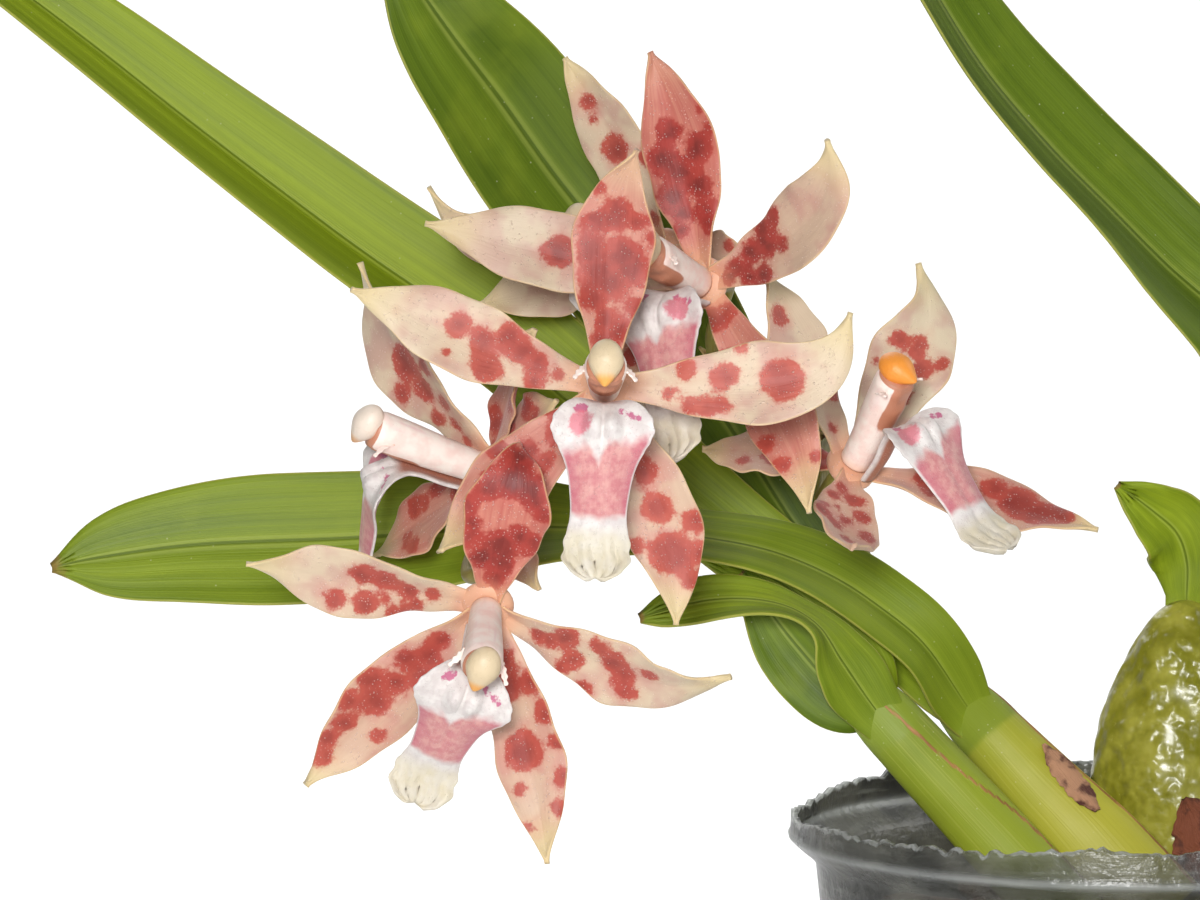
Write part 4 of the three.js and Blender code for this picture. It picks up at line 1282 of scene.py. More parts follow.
@dataclass
class Column:
    """The column: a stout arched rod, two toothed wings and a drop-shaped cap."""

    route: Points = (
        (0, 0, 1.1), (0, 0.6, 5), (0, 1.5, 10), (0, 2.2, COLUMN_LENGTH),
    )

    def body(self) -> Skin:
        """Builds the rod, hollowed a little below its end.

        Returns:
            The skin with the mark hollow.
        """
        line = Route(self.route)

        def relief(t: Array, turn: Array) -> Array:
            """Hollows the lower side near the end and makes the foot a little oval."""
            under = hump(turn, 1.5 * np.pi, 0.6)
            return -0.22 * under * ease((t - 0.72) / 0.12) - 0.04 * np.cos(2 * turn) * (1 - t)

        def girth(t: Array) -> Array:
            """Gives the radius, which swells to the end and shrinks just before it."""
            return (1.8 + 0.5 * ease(t)) * (1 - 0.14 * ease((t - 0.92) / 0.08))

        loft = Loft(
            midline=line.at, wide=(1, 0, 0), radii=lambda t: (girth(t), girth(t) + 0.1 * ease(t)),
            rows=48, around=40, relief=relief,
        )
        skin = loft.skin()
        hollow = ease((skin.along - 0.4) / 0.25) * ease((skin.marks["below"] - 0.35) / 0.4)
        end = ease((skin.along - 0.965) / 0.02)
        return skin.marked(hollow=np.maximum(hollow, end))

    def cap(self) -> Skin:
        """Builds the cap, an egg that narrows to a point at its lower end.

        Returns:
            The skin with the marks cap and point.
        """

        def lift(height: Array, turn: Array) -> Array:
            """Widens the cap sideways, most at half its height."""
            return 0.05 * np.cos(2 * turn) * (1 - height * height)

        half = np.array([1.8, 1.75, 2.45])
        egg = dome(half, 30, 32, lift)
        x, y, z = np.moveaxis(egg.points, -1, 0)
        low = np.clip(-z / half[2], 0.0, 1.0)
        taper = 1 - 0.45 * low**1.5
        upright = np.stack([x * taper, z - 0.35 * low**3, y * taper], -1)
        skin = Skin(upright, egg.along, egg.across)
        placed = skin.placed(turned(-0.3, "X"), np.array([0, 2.75, COLUMN_LENGTH + 0.7]))
        return placed.marked(cap=1.0, point=low)

    def wings(self) -> list[Skin]:
        """Builds two small thin wings beside the cap.

        Returns:
            Both skins.
        """
        wings = []
        for side in (-1, 1):
            steps = ((1.8, 1.9, -2.2), (2.6, 1.6, -1.2), (3.3, 0.8, -0.4))
            line = Route([(x * side, y, COLUMN_LENGTH + z) for x, y, z in steps])
            blade = Blade(
                midline=line.along, facing=steady((0.2, 1.0, 0.6)),
                half=lambda t: 0.65 * (1 - 0.75 * t) + 0.08 * np.sin(22 * t),
                fold=lambda t: 0.3 + 0 * t, thickness=0.3, rows=24, around=20,
            )
            wings.append(blade.skin())
        return wings

    def skins(self) -> list[Skin]:
        """Builds every surface of the column."""
        return [self.body(), self.cap(), *self.wings()]


@dataclass
class Bloom:
    """One bloom, placed by the point where its tepals meet and the way that it looks."""

    name: str
    centre: Triple
    look: Triple
    dorsal: Triple
    tepals: list[Tepal]
    pink_patch: float = 0.45
    column: ColumnFinish = ColumnFinish("column_tissue")

    def basis(self) -> Array:
        """Gives the bloom's right, up and forward directions as columns."""
        forward = unit(np.array(self.look, float))
        up = square_to(np.array(self.dorsal, float), forward)
        return np.stack([np.cross(up, forward), up, forward], -1)

    def settle(self, skin: Skin) -> Skin:
        """Puts a skin of the bloom where the bloom is."""
        return skin.placed(self.basis(), np.array(self.centre, float))

    def hub(self) -> Skin:
        """Builds the rounded knot that joins the tepals.

        Returns:
            The skin with the tepals' marks.
        """
        half = np.array([HUB_RADIUS - 0.2, HUB_RADIUS - 0.2, (HUB_FRONT - HUB_BACK) / 2])
        egg = dome(half, 18, 28)
        skin = Skin(egg.points + [0, 0, (HUB_FRONT + HUB_BACK) / 2], 0 * egg.along, 0 * egg.across)
        return skin.marked(spots=-2.0, blush=0.1, rich=0.5, tip=1.0, upper=1.0)

    def build(self) -> None:
        """Builds and dresses the star of tepals, the lip and the column."""
        star = [self.hub(), *(tepal.skin(number) for number, tepal in enumerate(self.tepals))]
        lip, petal = LipFinish("lip_tissue", sheen=0.15), TepalFinish("petal_tissue", sheen=0.15)
        parts = (
            ("star", star, petal, Slot.TEPAL, "tepals"),
            ("apron", [Lip().skin(self.pink_patch)], lip, Slot.LIP, "lip"),
            ("pillar", Column().skins(), self.column, Slot.COLUMN, "column"),
        )
        for part, skins, finish, slot, node in parts:
            piece = write_mesh(f"{self.name}_{part}", [self.settle(skin) for skin in skins])
            dress(piece, finish, slot, f"{self.name}_{node}")


def scattered(seed: int, count: int, reach: float = 0.72) -> Spots:
    """Scatters spots over a tepal, larger and closer towards its foot.

    Args:
        seed: The draw's seed.
        count: How many spots.
        reach: The share of the length that they cover.

    Returns:
        The spots.
    """
    draw = np.random.default_rng(seed)
    places = 0.06 + (reach - 0.06) * draw.random(count) ** 0.85
    sides = 1.8 * draw.random(count) - 0.9
    radii = 0.7 + 1.1 * draw.random(count) * (1.15 - places)
    return tuple(zip(places.tolist(), sides.tolist(), radii.tolist()))


# A tepal's first numbers are its angle, length, width, lift, bend, sweep, hook, curl and twist
BLOOMS = [
    Bloom(
        name="bloom_1",
        centre=(-62.5, -48, 127.3),
        look=(0, -1, 0.05),
        dorsal=(0.05, 0, 1),
        tepals=[
            Tepal(91, 25.5, 9.2, 6, 0, -6, -16, 26, 0, blush=0.6, rich=0.6, tip=0.45, spots=(
                (0.7, 0.03, 2.1), (0.655, -0.5, 1.4), (0.68, 0.6, 1.1), (0.79, -0.9, 0.8),
                (0.53, -0.5, 2.0), (0.52, 0.25, 2.2), (0.46, 0.55, 2.0), (0.44, -0.35, 2.2),
                (0.4, 0.0, 2.0), (0.33, -0.5, 1.7), (0.3, 0.9, 1.2), (0.24, -0.1, 1.6),
                (0.2, 0.6, 1.4), (0.14, -0.3, 1.5), (0.1, 0.3, 1.4), (0.62, 0.95, 1.0),
                (0.7, 0.95, 0.8),
            )),
            Tepal(1, 29.5, 9.2, 8, -6, 12, 66, 6, -8, blush=0.1, rich=0.25, spots=(
                (0.62, -0.05, 2.5), (0.41, -0.25, 1.6), (0.26, -0.65, 1.1), (0.27, 0.6, 1.0),
                (0.33, 0.65, 1.2), (0.39, 0.6, 1.1), (0.2, 0.3, 0.9), (0.47, -0.9, 0.9),
            )),
            Tepal(168, 28.5, 8.8, 8, -4, -18, 12, 10, 10, blush=0.1, rich=0.4, spots=(
                (0.57, 0.23, 1.5), (0.46, 0.15, 1.5), (0.37, 0.55, 1.7), (0.41, -0.55, 1.7),
                (0.45, -0.15, 1.2), (0.3, 0.33, 1.6), (0.23, 0.15, 1.3), (0.22, -0.7, 1.1),
                (0.14, -0.1, 0.9), (0.57, -0.55, 0.45),
            )),
            Tepal(-60, 26.5, 8.6, -4, -6, -16, -14, 14, 0, blush=0.25, rich=0.3, spots=(
                (0.7, 0.0, 2.6), (0.5, 0.0, 1.8), (0.6, -0.8, 1.3), (0.72, -0.9, 1.3),
                (0.82, -0.7, 1.2), (0.62, 0.8, 0.8), (0.35, 0.0, 1.6), (0.25, 0.2, 1.4),
            )),
            Tepal(-132, 25, 8.8, -6, -4, 0, 0, 50, 0, scattered(3, 12), 0.7),
        ],
    ),
    Bloom(
        name="bloom_2",
        centre=(-51.5, -27, 137.8),
        look=(-0.42, -0.88, 0.1),
        dorsal=(-0.05, 0.1, 1),
        tepals=[
            Tepal(91, 25.6, 9.6, 10, 4, 8, 10, 0, 0, blush=0.9, rich=0.9, tip=0.2, spots=(
                (0.64, -0.2, 1.5), (0.54, 0.45, 1.8), (0.52, -0.55, 1.8), (0.45, -0.2, 2.0),
                (0.38, 0.35, 1.8), (0.35, -0.5, 1.7), (0.28, -0.4, 1.4), (0.27, 0.6, 1.4),
                (0.2, -0.7, 1.0), (0.2, 0.8, 1.0), (0.7, 0.9, 0.7), (0.62, 0.95, 0.6),
            )),
            Tepal(10, 28, 9.2, 18, 10, 34, 40, 10, -10, blush=0.25, rich=1.0, spots=(
                (0.36, -0.7, 1.5), (0.43, -0.75, 1.1), (0.34, -0.25, 1.6), (0.42, 0.05, 1.0),
                (0.25, -0.35, 1.5), (0.28, 0.65, 1.4), (0.2, 0.5, 1.2), (0.15, -0.1, 1.2),
                (0.1, 0.2, 1.0),
            )),
            Tepal(165, 31, 9.2, 24, 6, -2, 2, 0, 8, ((0.5, 0.0, 2.0),), 0.05),
            Tepal(-56, 29, 8.6, 4, 2, -10, -16, 0, 0, scattered(5, 14, 0.8), 0.8),
            Tepal(-128, 14, 8, 8, 0, 6, 0, 0, 0, scattered(6, 7), 0.4),
        ],
        pink_patch=-0.45,
    ),
    Bloom(
        name="bloom_3",
        centre=(-75.4, -46, 103.1),
        look=(-0.07, -0.86, -0.48),
        dorsal=(0.36, -0.4, 0.85),
        tepals=[
            Tepal(100, 20.5, 9.6, 8, -20, 0, 0, -80, 0, blush=0.9, rich=0.9, tip=0.1, spots=(
                (0.76, 0.0, 2.4), (0.7, -0.6, 1.8), (0.72, 0.6, 1.8), (0.88, 0.0, 1.6),
                (0.62, 0.85, 1.0), (0.58, -0.9, 1.2), (0.36, 0.0, 2.2), (0.45, 0.45, 1.5),
                (0.3, -0.5, 1.6), (0.4, -0.85, 1.2), (0.42, 0.85, 1.4), (0.25, 0.2, 1.6),
                (0.15, 0.1, 1.3), (0.48, -0.8, 1.2),
            )),
            Tepal(-8, 28, 8.6, 8, -6, 16, 40, 6, 16, blush=0.1, spots=(
                (0.29, -0.5, 1.5), (0.24, 0.0, 1.3), (0.36, 0.3, 1.3), (0.42, -0.6, 1.2),
                (0.51, -0.25, 1.6), (0.56, 0.1, 1.4), (0.44, 0.9, 0.9), (0.66, -0.35, 1.0),
                (0.19, 0.0, 1.2), (0.6, 0.5, 1.1), (0.33, 0.8, 0.9),
            )),
            Tepal(188, 25.5, 8.8, 4, -4, 4, 0, 4, 0, blush=0.1, spots=(
                (0.5, 0.3, 1.5), (0.4, 0.3, 1.35), (0.3, 0.05, 1.35), (0.6, -0.6, 1.3),
                (0.47, -0.55, 1.5), (0.19, 0.1, 0.95), (0.39, -0.35, 0.3), (0.25, -0.6, 0.8),
                (0.35, -0.85, 0.8), (0.3, -0.8, 0.7),
            )),
            Tepal(-49, 28.5, 8.2, 18, 26, -4, -4, 4, 6, blush=0.3, spots=(
                (0.55, 0.15, 2.2), (0.3, -0.8, 1.3), (0.42, -0.85, 1.3), (0.55, -0.9, 1.2),
                (0.68, -0.9, 1.1), (0.8, -0.85, 1.0), (0.2, 0.0, 1.5), (0.3, 0.1, 1.2),
                (0.7, 0.6, 0.8), (0.85, 0.8, 0.8),
            )),
            Tepal(-116, 28, 9.2, 8, 16, 6, -4, 4, 0, blush=0.35, spots=(
                (0.7, 0.45, 1.5), (0.56, 0.2, 1.9), (0.62, 0.75, 1.4), (0.5, 0.7, 1.6),
                (0.45, 0.1, 1.5), (0.35, 0.5, 1.4), (0.36, -0.2, 1.5), (0.27, 0.0, 1.5),
                (0.2, 0.2, 1.3), (0.66, -0.55, 0.9), (0.8, 0.75, 1.3), (0.87, 0.4, 1.2),
            )),
        ],
        pink_patch=1.5,
    ),
    Bloom(
        name="bloom_4",
        centre=(-75.6, -31, 117),
        look=(-0.93, -0.29, 0.21),
        dorsal=(0.1, -0.5, 0.85),
        column=ColumnFinish("column_tissue", cap=screen(236, 220, 204), point=screen(226, 176, 132)),
        tepals=[
            Tepal(96, 17, 8.6, 4, 0, 0, 0, -10, 0, scattered(7, 8), 0.7),
            Tepal(66, 15, 8, -4, -6, 0, 0, 0, 0, scattered(8, 8), 0.5),
            Tepal(157, 27.5, 11, 46, -12, -6, -28, -8, 6, blush=0.1, spots=(
                (0.54, 0.0, 2.2), (0.41, 0.0, 1.6), (0.46, 0.6, 1.2), (0.46, -0.6, 1.2),
                (0.3, 0.4, 1.0), (0.28, -0.4, 0.9), (0.2, 0.1, 0.9), (0.12, -0.1, 0.8),
            )),
            Tepal(-30, 14, 8, -24, -8, 0, 0, 0, 0, scattered(9, 8), 0.6),
            Tepal(-115, 22.5, 8.4, 12, 6, 0, 0, 0, 0, scattered(10, 11), 0.7),
        ],
    ),
    Bloom(
        name="bloom_5",
        centre=(-34.3, -21, 116.6),
        look=(0.42, -0.65, 0.63),
        dorsal=(-0.62, 0.35, 0.7),
        column=ColumnFinish("column_tissue", cap=screen(240, 152, 58), point=screen(240, 152, 58)),
        tepals=[
            Tepal(88, 24, 8.6, 20, 4, 0, 4, 0, 0, blush=0.1, spots=(
                (0.76, -0.3, 1.4), (0.4, -0.6, 1.0), (0.33, 0.0, 0.9), (0.4, 0.5, 0.9),
                (0.16, 0.0, 0.8), (0.31, 0.6, 0.8),
            )),
            Tepal(28, 26, 9.8, 26, 8, 2, 60, 0, 0, blush=0.0, spots=(
                (0.6, -0.41, 1.25), (0.63, 0.05, 1.1), (0.58, 0.1, 0.9), (0.53, 0.38, 1.2),
                (0.59, 0.75, 0.75), (0.39, 0.3, 1.2), (0.45, -0.75, 0.7),
            )),
            Tepal(128, 16, 8.4, -24, -6, 0, 0, 0, 0, scattered(11, 8), 0.4),
            Tepal(-52, 28, 8.8, 16, 4, -6, -6, 6, 0, blush=0.5, spots=(
                (0.4, 0.4, 1.5), (0.3, 0.3, 1.2), (0.45, 0.6, 1.1), (0.32, -0.6, 1.3),
                (0.25, -0.3, 1.0), (0.66, -0.2, 2.6), (0.75, 0.0, 2.4), (0.83, -0.3, 2.0),
                (0.55, -0.5, 1.5),
            )),
            Tepal(-143, 19, 8.8, 10, 8, 0, 0, 40, 0, blush=0.35, rich=0.8, tip=0.3, spots=(
                (0.18, 0.4, 0.9), (0.3, 0.6, 0.8), (0.26, -0.3, 1.1), (0.4, -0.5, 1.0),
                (0.4, 0.3, 0.4), (0.5, 0.0, 0.8), (0.55, 0.75, 0.9), (0.6, 0.35, 1.0),
                (0.58, -0.6, 1.1), (0.72, 0.0, 1.0), (0.45, 0.8, 0.6),
            )),
        ],
    ),
    Bloom(
        name="bloom_6",
        centre=(-55.6, -8, 140.5),
        look=(-0.6, -0.78, 0.08),
        dorsal=(-0.35, 0.1, 0.95),
        tepals=[
            Tepal(90, 24.5, 8.6, 18, 6, 4, 6, 0, 0, blush=0.1, spots=(
                (0.5, 0.0, 1.9), *scattered(15, 7, 0.9)[:4],
            )),
            Tepal(-26, 12, 7.4, 0, 0, 0, 0, 0, 0, scattered(12, 6), 0.3),
            Tepal(158, 29.5, 6.4, 34, 0, 2, -76, 0, 0, ((0.3, 0.2, 1.3),), 0.05),
            Tepal(-124, 14, 8, -25, -6, 0, 0, 0, 0, scattered(13, 6), 0.3),
            Tepal(176, 23, 8.2, 16, 6, 4, 0, 0, 0, scattered(14, 5, 0.4), 0.1),
        ],
    ),
]


@dataclass
class Shoot:
    """A shoot of folded sheaths: an oval rod whose overlapping edges show as steps."""

    name: str
    route: Points
    start: tuple[float, float]
    end: tuple[float, float]
    seam: tuple[float, float]
    finish: SheathFinish = SheathFinish("sheath_tissue")
    beyond: float = 10.0

    def top(self) -> tuple[Array, Array]:
        """Gives the end of the route, where the blades begin, and the direction there."""
        end = np.array(self.route[-1], float)
        return end, unit(end - Route(self.route).at(np.array([0.99]))[0])

    def past_seam(self, t: Array, turn: Array) -> Array:
        """Gives the angle from the overlapping edge, which runs at a slant up the shoot."""
        edge = self.seam[0] + (self.seam[1] - self.seam[0]) * t + 0.08 * np.sin(9 * t)
        return np.angle(np.exp(1j * (turn - edge)))

    def skin(self) -> Skin:
        """Builds the shoot, keeled at its narrow sides, with the marks seam and joint.

        Past the joint where the blades begin, the oval goes on along the last direction while
        it flattens, so that it dies away inside the feet of the leaves.

        Returns:
            The skin.
        """
        line = Route(self.route)
        _, axis = self.top()
        over = self.beyond / line.length

        def midline(t: Array) -> Array:
            """Follows the route and goes straight on past its end."""
            s = t * (1 + over)
            on = line.at(np.minimum(s, 1.0))
            return on + np.maximum(s - 1.0, 0.0)[..., None] * line.length * axis

        def radii(t: Array) -> tuple[Array, Array]:
            """Goes evenly from the first half axes to the last, and shrinks past the joint."""
            s = t * (1 + over)
            past = np.clip((s - 1.0) / over, 0.0, 1.0)
            ends = zip(self.start, self.end)
            wide, deep = (a + (b - a) * np.minimum(s, 1.0) for a, b in ends)
            return wide * (1 - 0.5 * past**2), deep * (1 - 0.9 * past**1.1)

        def relief(t: Array, turn: Array) -> Array:
            """Raises keels at the narrow sides and a step along the overlapping edge."""
            keel = 0.05 * np.cos(turn) ** 8
            away = self.past_seam(t, turn)
            fold = 0.05 * (ease((away + 0.05) / 0.1) - ease((away - 0.9) / 1.2))
            return keel + fold

        loft = Loft(
            midline=midline, wide=(1, 0, 0.5), radii=radii, rows=90, around=72, relief=relief,
        )
        skin = loft.skin()
        away = self.past_seam(skin.along, full_turn(loft.around))
        past = (skin.along * (1 + over) - 1.0) * line.length
        return skin.marked(seam=hump(away, 0, 0.075), joint=past)

    def build(self) -> None:
        """Builds and dresses the shoot."""
        piece = write_mesh(f"{self.name}_sheaths", [self.skin()])
        dress(piece, self.finish, Slot.SHEATH, self.name)

    def seat(self, depth: float) -> tuple[Array, Array]:
        """Gives the base point of a leaf on the shoot's top, and the way it starts out."""
        end, axis = self.top()
        return end + axis * 0.48 + [0, depth, 0], axis


SHOOTS = {
    shoot.name: shoot
    for shoot in [
        Shoot(
            "shoot_front", start=(5.9, 3.4), end=(3.8, 3.4), seam=(6.1, 6.2),
            route=((2.5, -6.0, 62), (-4.1, -5.2, 70), (-10.3, -2.5, 76.4), (-16.4, 0, 82.9)),
        ),
        Shoot(
            "shoot_left", start=(4.2, 2.9), end=(3.6, 3.1), seam=(6.3, 4.75),
            route=((-7.5, -10.5, 62), (-16.5, -9.5, 71.8), (-22.2, -9.5, 78), (-28.0, -9.6, 84.3)),
            finish=SheathFinish("sheath_green", low=screen(150, 164, 38), high=screen(116, 134, 26)),
        ),
        Shoot(
            "shoot_right", start=(3.4, 2.8), end=(3.4, 2.6), seam=(5.4, 5.9),
            route=((19.0, -5.5, 62), (19.8, -6.2, 67), (20.2, -7.0, 72)),
        ),
    ]
}


class Shade(Enum):
    """The greens of the leaves."""

    BRIGHT = LeafFinish("leaf_bright", 0.22, bright=screen(150, 168, 36), deep=screen(98, 118, 10))
    MIDDLE = LeafFinish("leaf_middle", 0.22)
    DEEP = LeafFinish("leaf_deep", 0.25, bright=screen(106, 128, 24), deep=screen(66, 88, 8))


@dataclass
class Leaf:
    """A strap leaf, folded along its midrib, from the top of a shoot to its tip.

    Its foot lies sunk that many millimetres into the shoot. Past it, the blade widens, thins and
    folds over the three lengths of those names.
    """

    name: str
    shoot: str
    depth: float
    route: Points
    width: list[tuple[float, float]]
    face: list[Triple]
    fold: tuple[float, float]
    shade: Shade = Shade.MIDDLE
    swell: float = 1.0
    foot: float = 0.74
    sunk: float = 2.0
    widens: float = 10.0
    thins: float = 14.0
    folds: float = 16.0

    def seat(self) -> tuple[Array, Array]:
        """Gives the leaf's base point and the way that it starts out.

        Returns:
            The point and the direction.
        """
        if self.shoot == "pseudobulb":
            top = BULB_CENTRE + [0, self.depth, BULB_HALF[2] + 0.3]
            return top, np.array([0.0, 0.0, 1.0])
        return SHOOTS[self.shoot].seat(self.depth)

    def line(self) -> Route:
        """Gives the midline from the foot to the tip."""
        foot, axis = self.seat()
        return Route(np.vstack([foot, foot + 4 * axis, np.array(self.route, float)]))

    def half(self, t: Array) -> Array:
        """Gives the half width."""
        return table(self.width)(t) / 2

    def build(self) -> None:
        """Builds the leaf with shallow lengthwise ribs, and dresses it.

        The blade starts a little below its shoot's top, inside it, narrow, thin and nearly
        flat. It widens and swells over the first millimetres, and then thins and folds.
        """
        line = self.line()
        _, axis = self.seat()
        closed, opened = self.fold
        sunk = self.sunk / line.length

        def share(t: Array) -> Array:
            """Gives the share of the midline, below 0 inside the shoot."""
            return np.asarray(t) * (1 + sunk) - sunk

        def midline(t: Array) -> Array:
            """Follows the leaf's line, and its first direction inside the shoot."""
            s = share(t)
            below = np.minimum(s, 0.0)[..., None] * line.length * axis
            return line.along(np.maximum(s, 0.0)) + below

        def grown(t: Array, reach: float) -> Array:
            """Eases from 0 at the shoot's top to 1 at a reach past it."""
            return ease(share(t) * line.length / reach)

        def fold(t: Array) -> Array:
            """Gives the fold's angle, small at the foot."""
            s = np.maximum(share(t), 0.0)
            full = np.radians(closed + (opened - closed) * ease(2.4 * s))
            return full * (0.15 + 0.85 * grown(t, self.folds))

        def half(t: Array) -> Array:
            """Gives the half width, narrowed at the foot."""
            wide = self.foot + (1 - self.foot) * grown(t, self.widens)
            return self.half(np.maximum(share(t), 0.0)) * wide

        def thickness(t: Array) -> Array:
            """Gives the thickness, swollen near the foot."""
            swollen = ease((share(t) * line.length + self.sunk) / 6.0) * (1 - grown(t, self.thins))
            return 0.8 + self.swell * swollen

        def relief(t: Array, v: Array) -> Array:
            """Adds lengthwise ribs and a slow sway of the margins."""
            ribs = 0.05 * np.cos(v * 22) * (1 - v * v) * grown(t, self.folds)
            sway = 0.5 * v * v * np.sin(7 * t + 3 * v) * ease(t / 0.2)
            return ribs + sway

        blade = Blade(
            midline=midline, facing=between(self.face), half=half, fold=fold, thickness=thickness,
            rows=max(60, int(line.length * 1.3)), around=64, relief=relief, crease=0.05,
        )
        piece = write_mesh(f"{self.name}_blade", [blade.skin()])
        dress(piece, self.shade.value, Slot.LEAF, self.name)


LEAVES = [
    Leaf(
        "leaf_long_left", "shoot_front", depth=-1.2, fold=(34, 9),
        route=(
            (-24.7, -4.0, 94.0), (-30.1, -5.0, 98.6), (-36.0, -6.0, 102.4), (-43.1, -8.0, 105.4),
            (-50.7, -9.0, 107.0), (-59.5, -10.0, 108.0), (-74.6, -10.0, 108.4),
            (-92.1, -11.0, 107.4), (-109.4, -12.5, 106.8), (-120.9, -13.5, 105.4),
            (-126.4, -14.0, 104.3),
        ),
        width=[
            (0, 7.4), (0.1, 9.4), (0.25, 11), (0.5, 13.5), (0.78, 15.8), (0.9, 12.8), (0.955, 9),
            (1, 0.8),
        ],
        face=[
            (0.2, -1, 0.2), (0.2, -1, 0.3), (0.35, -0.7, 0.6), (0.1, -0.35, 0.95), (0, -0.5, 0.85),
            (0, -1, 0.4), (0, -1, 0.3), (0, -1, 0.3), (0, -1, 0.3),
        ],
    ),
    Leaf(
        "leaf_upper_left", "shoot_front", depth=0.6, fold=(34, 30), shade=Shade.BRIGHT,
        route=(
            (-27.2, 3.5, 92.2), (-39.1, 5.0, 100.5), (-51.0, 6.5, 109.1), (-63.0, 7.0, 118.8),
            (-75.0, 7.0, 128.7), (-90.6, 7.0, 139.5), (-99.4, 7.0, 146.0), (-111.6, 7.0, 155.3),
            (-123.6, 6.5, 164.8), (-135.4, 6.0, 173.6), (-150.0, 3.0, 183.5),
        ),
        width=[
            (0, 7.2), (0.1, 9.0), (0.25, 13), (0.42, 17.4), (0.55, 17), (0.7, 14.4), (0.85, 11),
            (0.95, 6.5), (1, 1.5),
        ],
        face=[
            (0.2, -1, 0.1), (0.3, -0.9, 0.35), (0.33, -0.84, 0.43), (0.33, -0.84, 0.43),
            (0.33, -0.84, 0.43),
        ],
    ),
    Leaf(
        "leaf_upper", "shoot_front", depth=2.6, fold=(34, 14), shade=Shade.DEEP,
        route=(
            (-24.8, 8.4, 93.6), (-31.7, 11.6, 98.6), (-38.5, 13.0, 105.6), (-44.0, 13.6, 113.8),
            (-50.2, 13.4, 123.1), (-56.2, 12.8, 133.1), (-62.4, 12.0, 141.5), (-68.6, 11.0, 149.3),
            (-74.7, 9.0, 157.9), (-79.9, 6.0, 164.8), (-84.5, 4.0, 171.3), (-87.6, 3.0, 175.4),
        ),
        width=[
            (0, 7), (0.1, 8), (0.2, 9), (0.3, 12.5), (0.45, 17), (0.65, 19.6), (0.82, 18.4),
            (0.92, 14), (0.975, 8), (1, 1),
        ],
        face=[(0.2, -1, 0.1), (0.1, -1, 0.3), (0.1, -1, 0.3)],
    ),
    Leaf(
        "leaf_low_tip", "shoot_left", depth=-1.2, fold=(34, 10),
        route=(
            (-34.9, -12.6, 93.0), (-38.2, -14.0, 97.6), (-43.2, -15.5, 100.2),
            (-50.3, -16.5, 100.6), (-58.4, -17.5, 98.8),
        ),
        width=[(0, 7.2), (0.2, 8.8), (0.36, 7.6), (0.5, 5.6), (0.8, 6.4), (0.93, 4), (1, 0.8)],
        face=[
            (-0.2, -1, 0.1), (0, -0.95, 0.3), (0.35, -0.45, 0.85), (0.1, -0.7, 0.7),
            (0, -0.85, 0.5),
        ],
    ),
    Leaf(
        "leaf_low_dark", "shoot_left", depth=0.6, fold=(34, 14), shade=Shade.DEEP,
        route=((-35.2, -9.2, 89.6), (-39.9, -8.2, 94.6), (-43.8, -7.8, 99.6), (-46.6, -7.4, 103.0)),
        width=[(0, 6.8), (0.3, 9.8), (0.6, 10), (0.85, 5.6), (1, 0.8)],
        face=[(-0.2, -1, 0), (-0.2, -1, 0.1), (-0.2, -1, 0.1)],
    ),
    Leaf(
        "leaf_low_bright", "shoot_left", depth=2.7, fold=(34, 12), shade=Shade.BRIGHT,
        route=(
            (-32.2, -5.0, 91.5), (-36.4, -3.0, 97.2), (-41.4, -2.6, 101.2), (-46.6, -2.8, 103.6),
            (-51.6, -3.6, 105.0),
        ),
        width=[(0, 6.8), (0.3, 8.4), (0.65, 8), (0.88, 4.6), (1, 0.8)],
        face=[(0.1, -1, 0), (0.1, -1, 0.2), (0.1, -1, 0.2)],
    ),
    Leaf(
        "leaf_tall_right", "shoot_right", depth=0, fold=(34, 25), shade=Shade.DEEP,
        route=(
            (15.0, -8.5, 82.0), (12.0, -8.6, 92.0), (12.4, -7.4, 102.0), (14.6, -5.0, 112.5),
            (16.4, -1.6, 121.5), (12.8, 2.0, 130.5), (4.2, 5.0, 138.6), (-2.2, 6.0, 145.0),
            (-9.6, 6.0, 152.4), (-17.4, 5.0, 161.4), (-23.4, 4.0, 170.5), (-28.2, 3.0, 179.0),
            (-34.0, 1.0, 188.0),
        ),
        width=[
            (0, 6.4), (0.1, 9.4), (0.3, 13), (0.5, 16.5), (0.7, 17), (0.85, 13.5), (0.95, 7.5),
            (1, 1.5),
        ],
        face=[
            (0, -1, 0), (0, -1, 0), (0.1, -1, 0.1), (0.5, -0.7, 0.5), (0.57, -0.66, 0.49),
            (0.57, -0.66, 0.49),
        ],
    ),
    Leaf(
        "leaf_bulb_top", "pseudobulb", depth=0, fold=(30, 20), shade=Shade.BRIGHT, foot=1.0,
        route=((5.9, 5.0, 106.6), (2.6, 3.8, 109.6), (-1.5, 2.6, 112.6)),
        width=[(0, 5.2), (0.15, 7.8), (0.35, 9.4), (0.6, 8.8), (0.85, 5), (1, 0.8)],
        face=[(-0.2, -1, 0.1), (-0.2, -1, 0.3), (-0.2, -1, 0.3)],
    ),
]


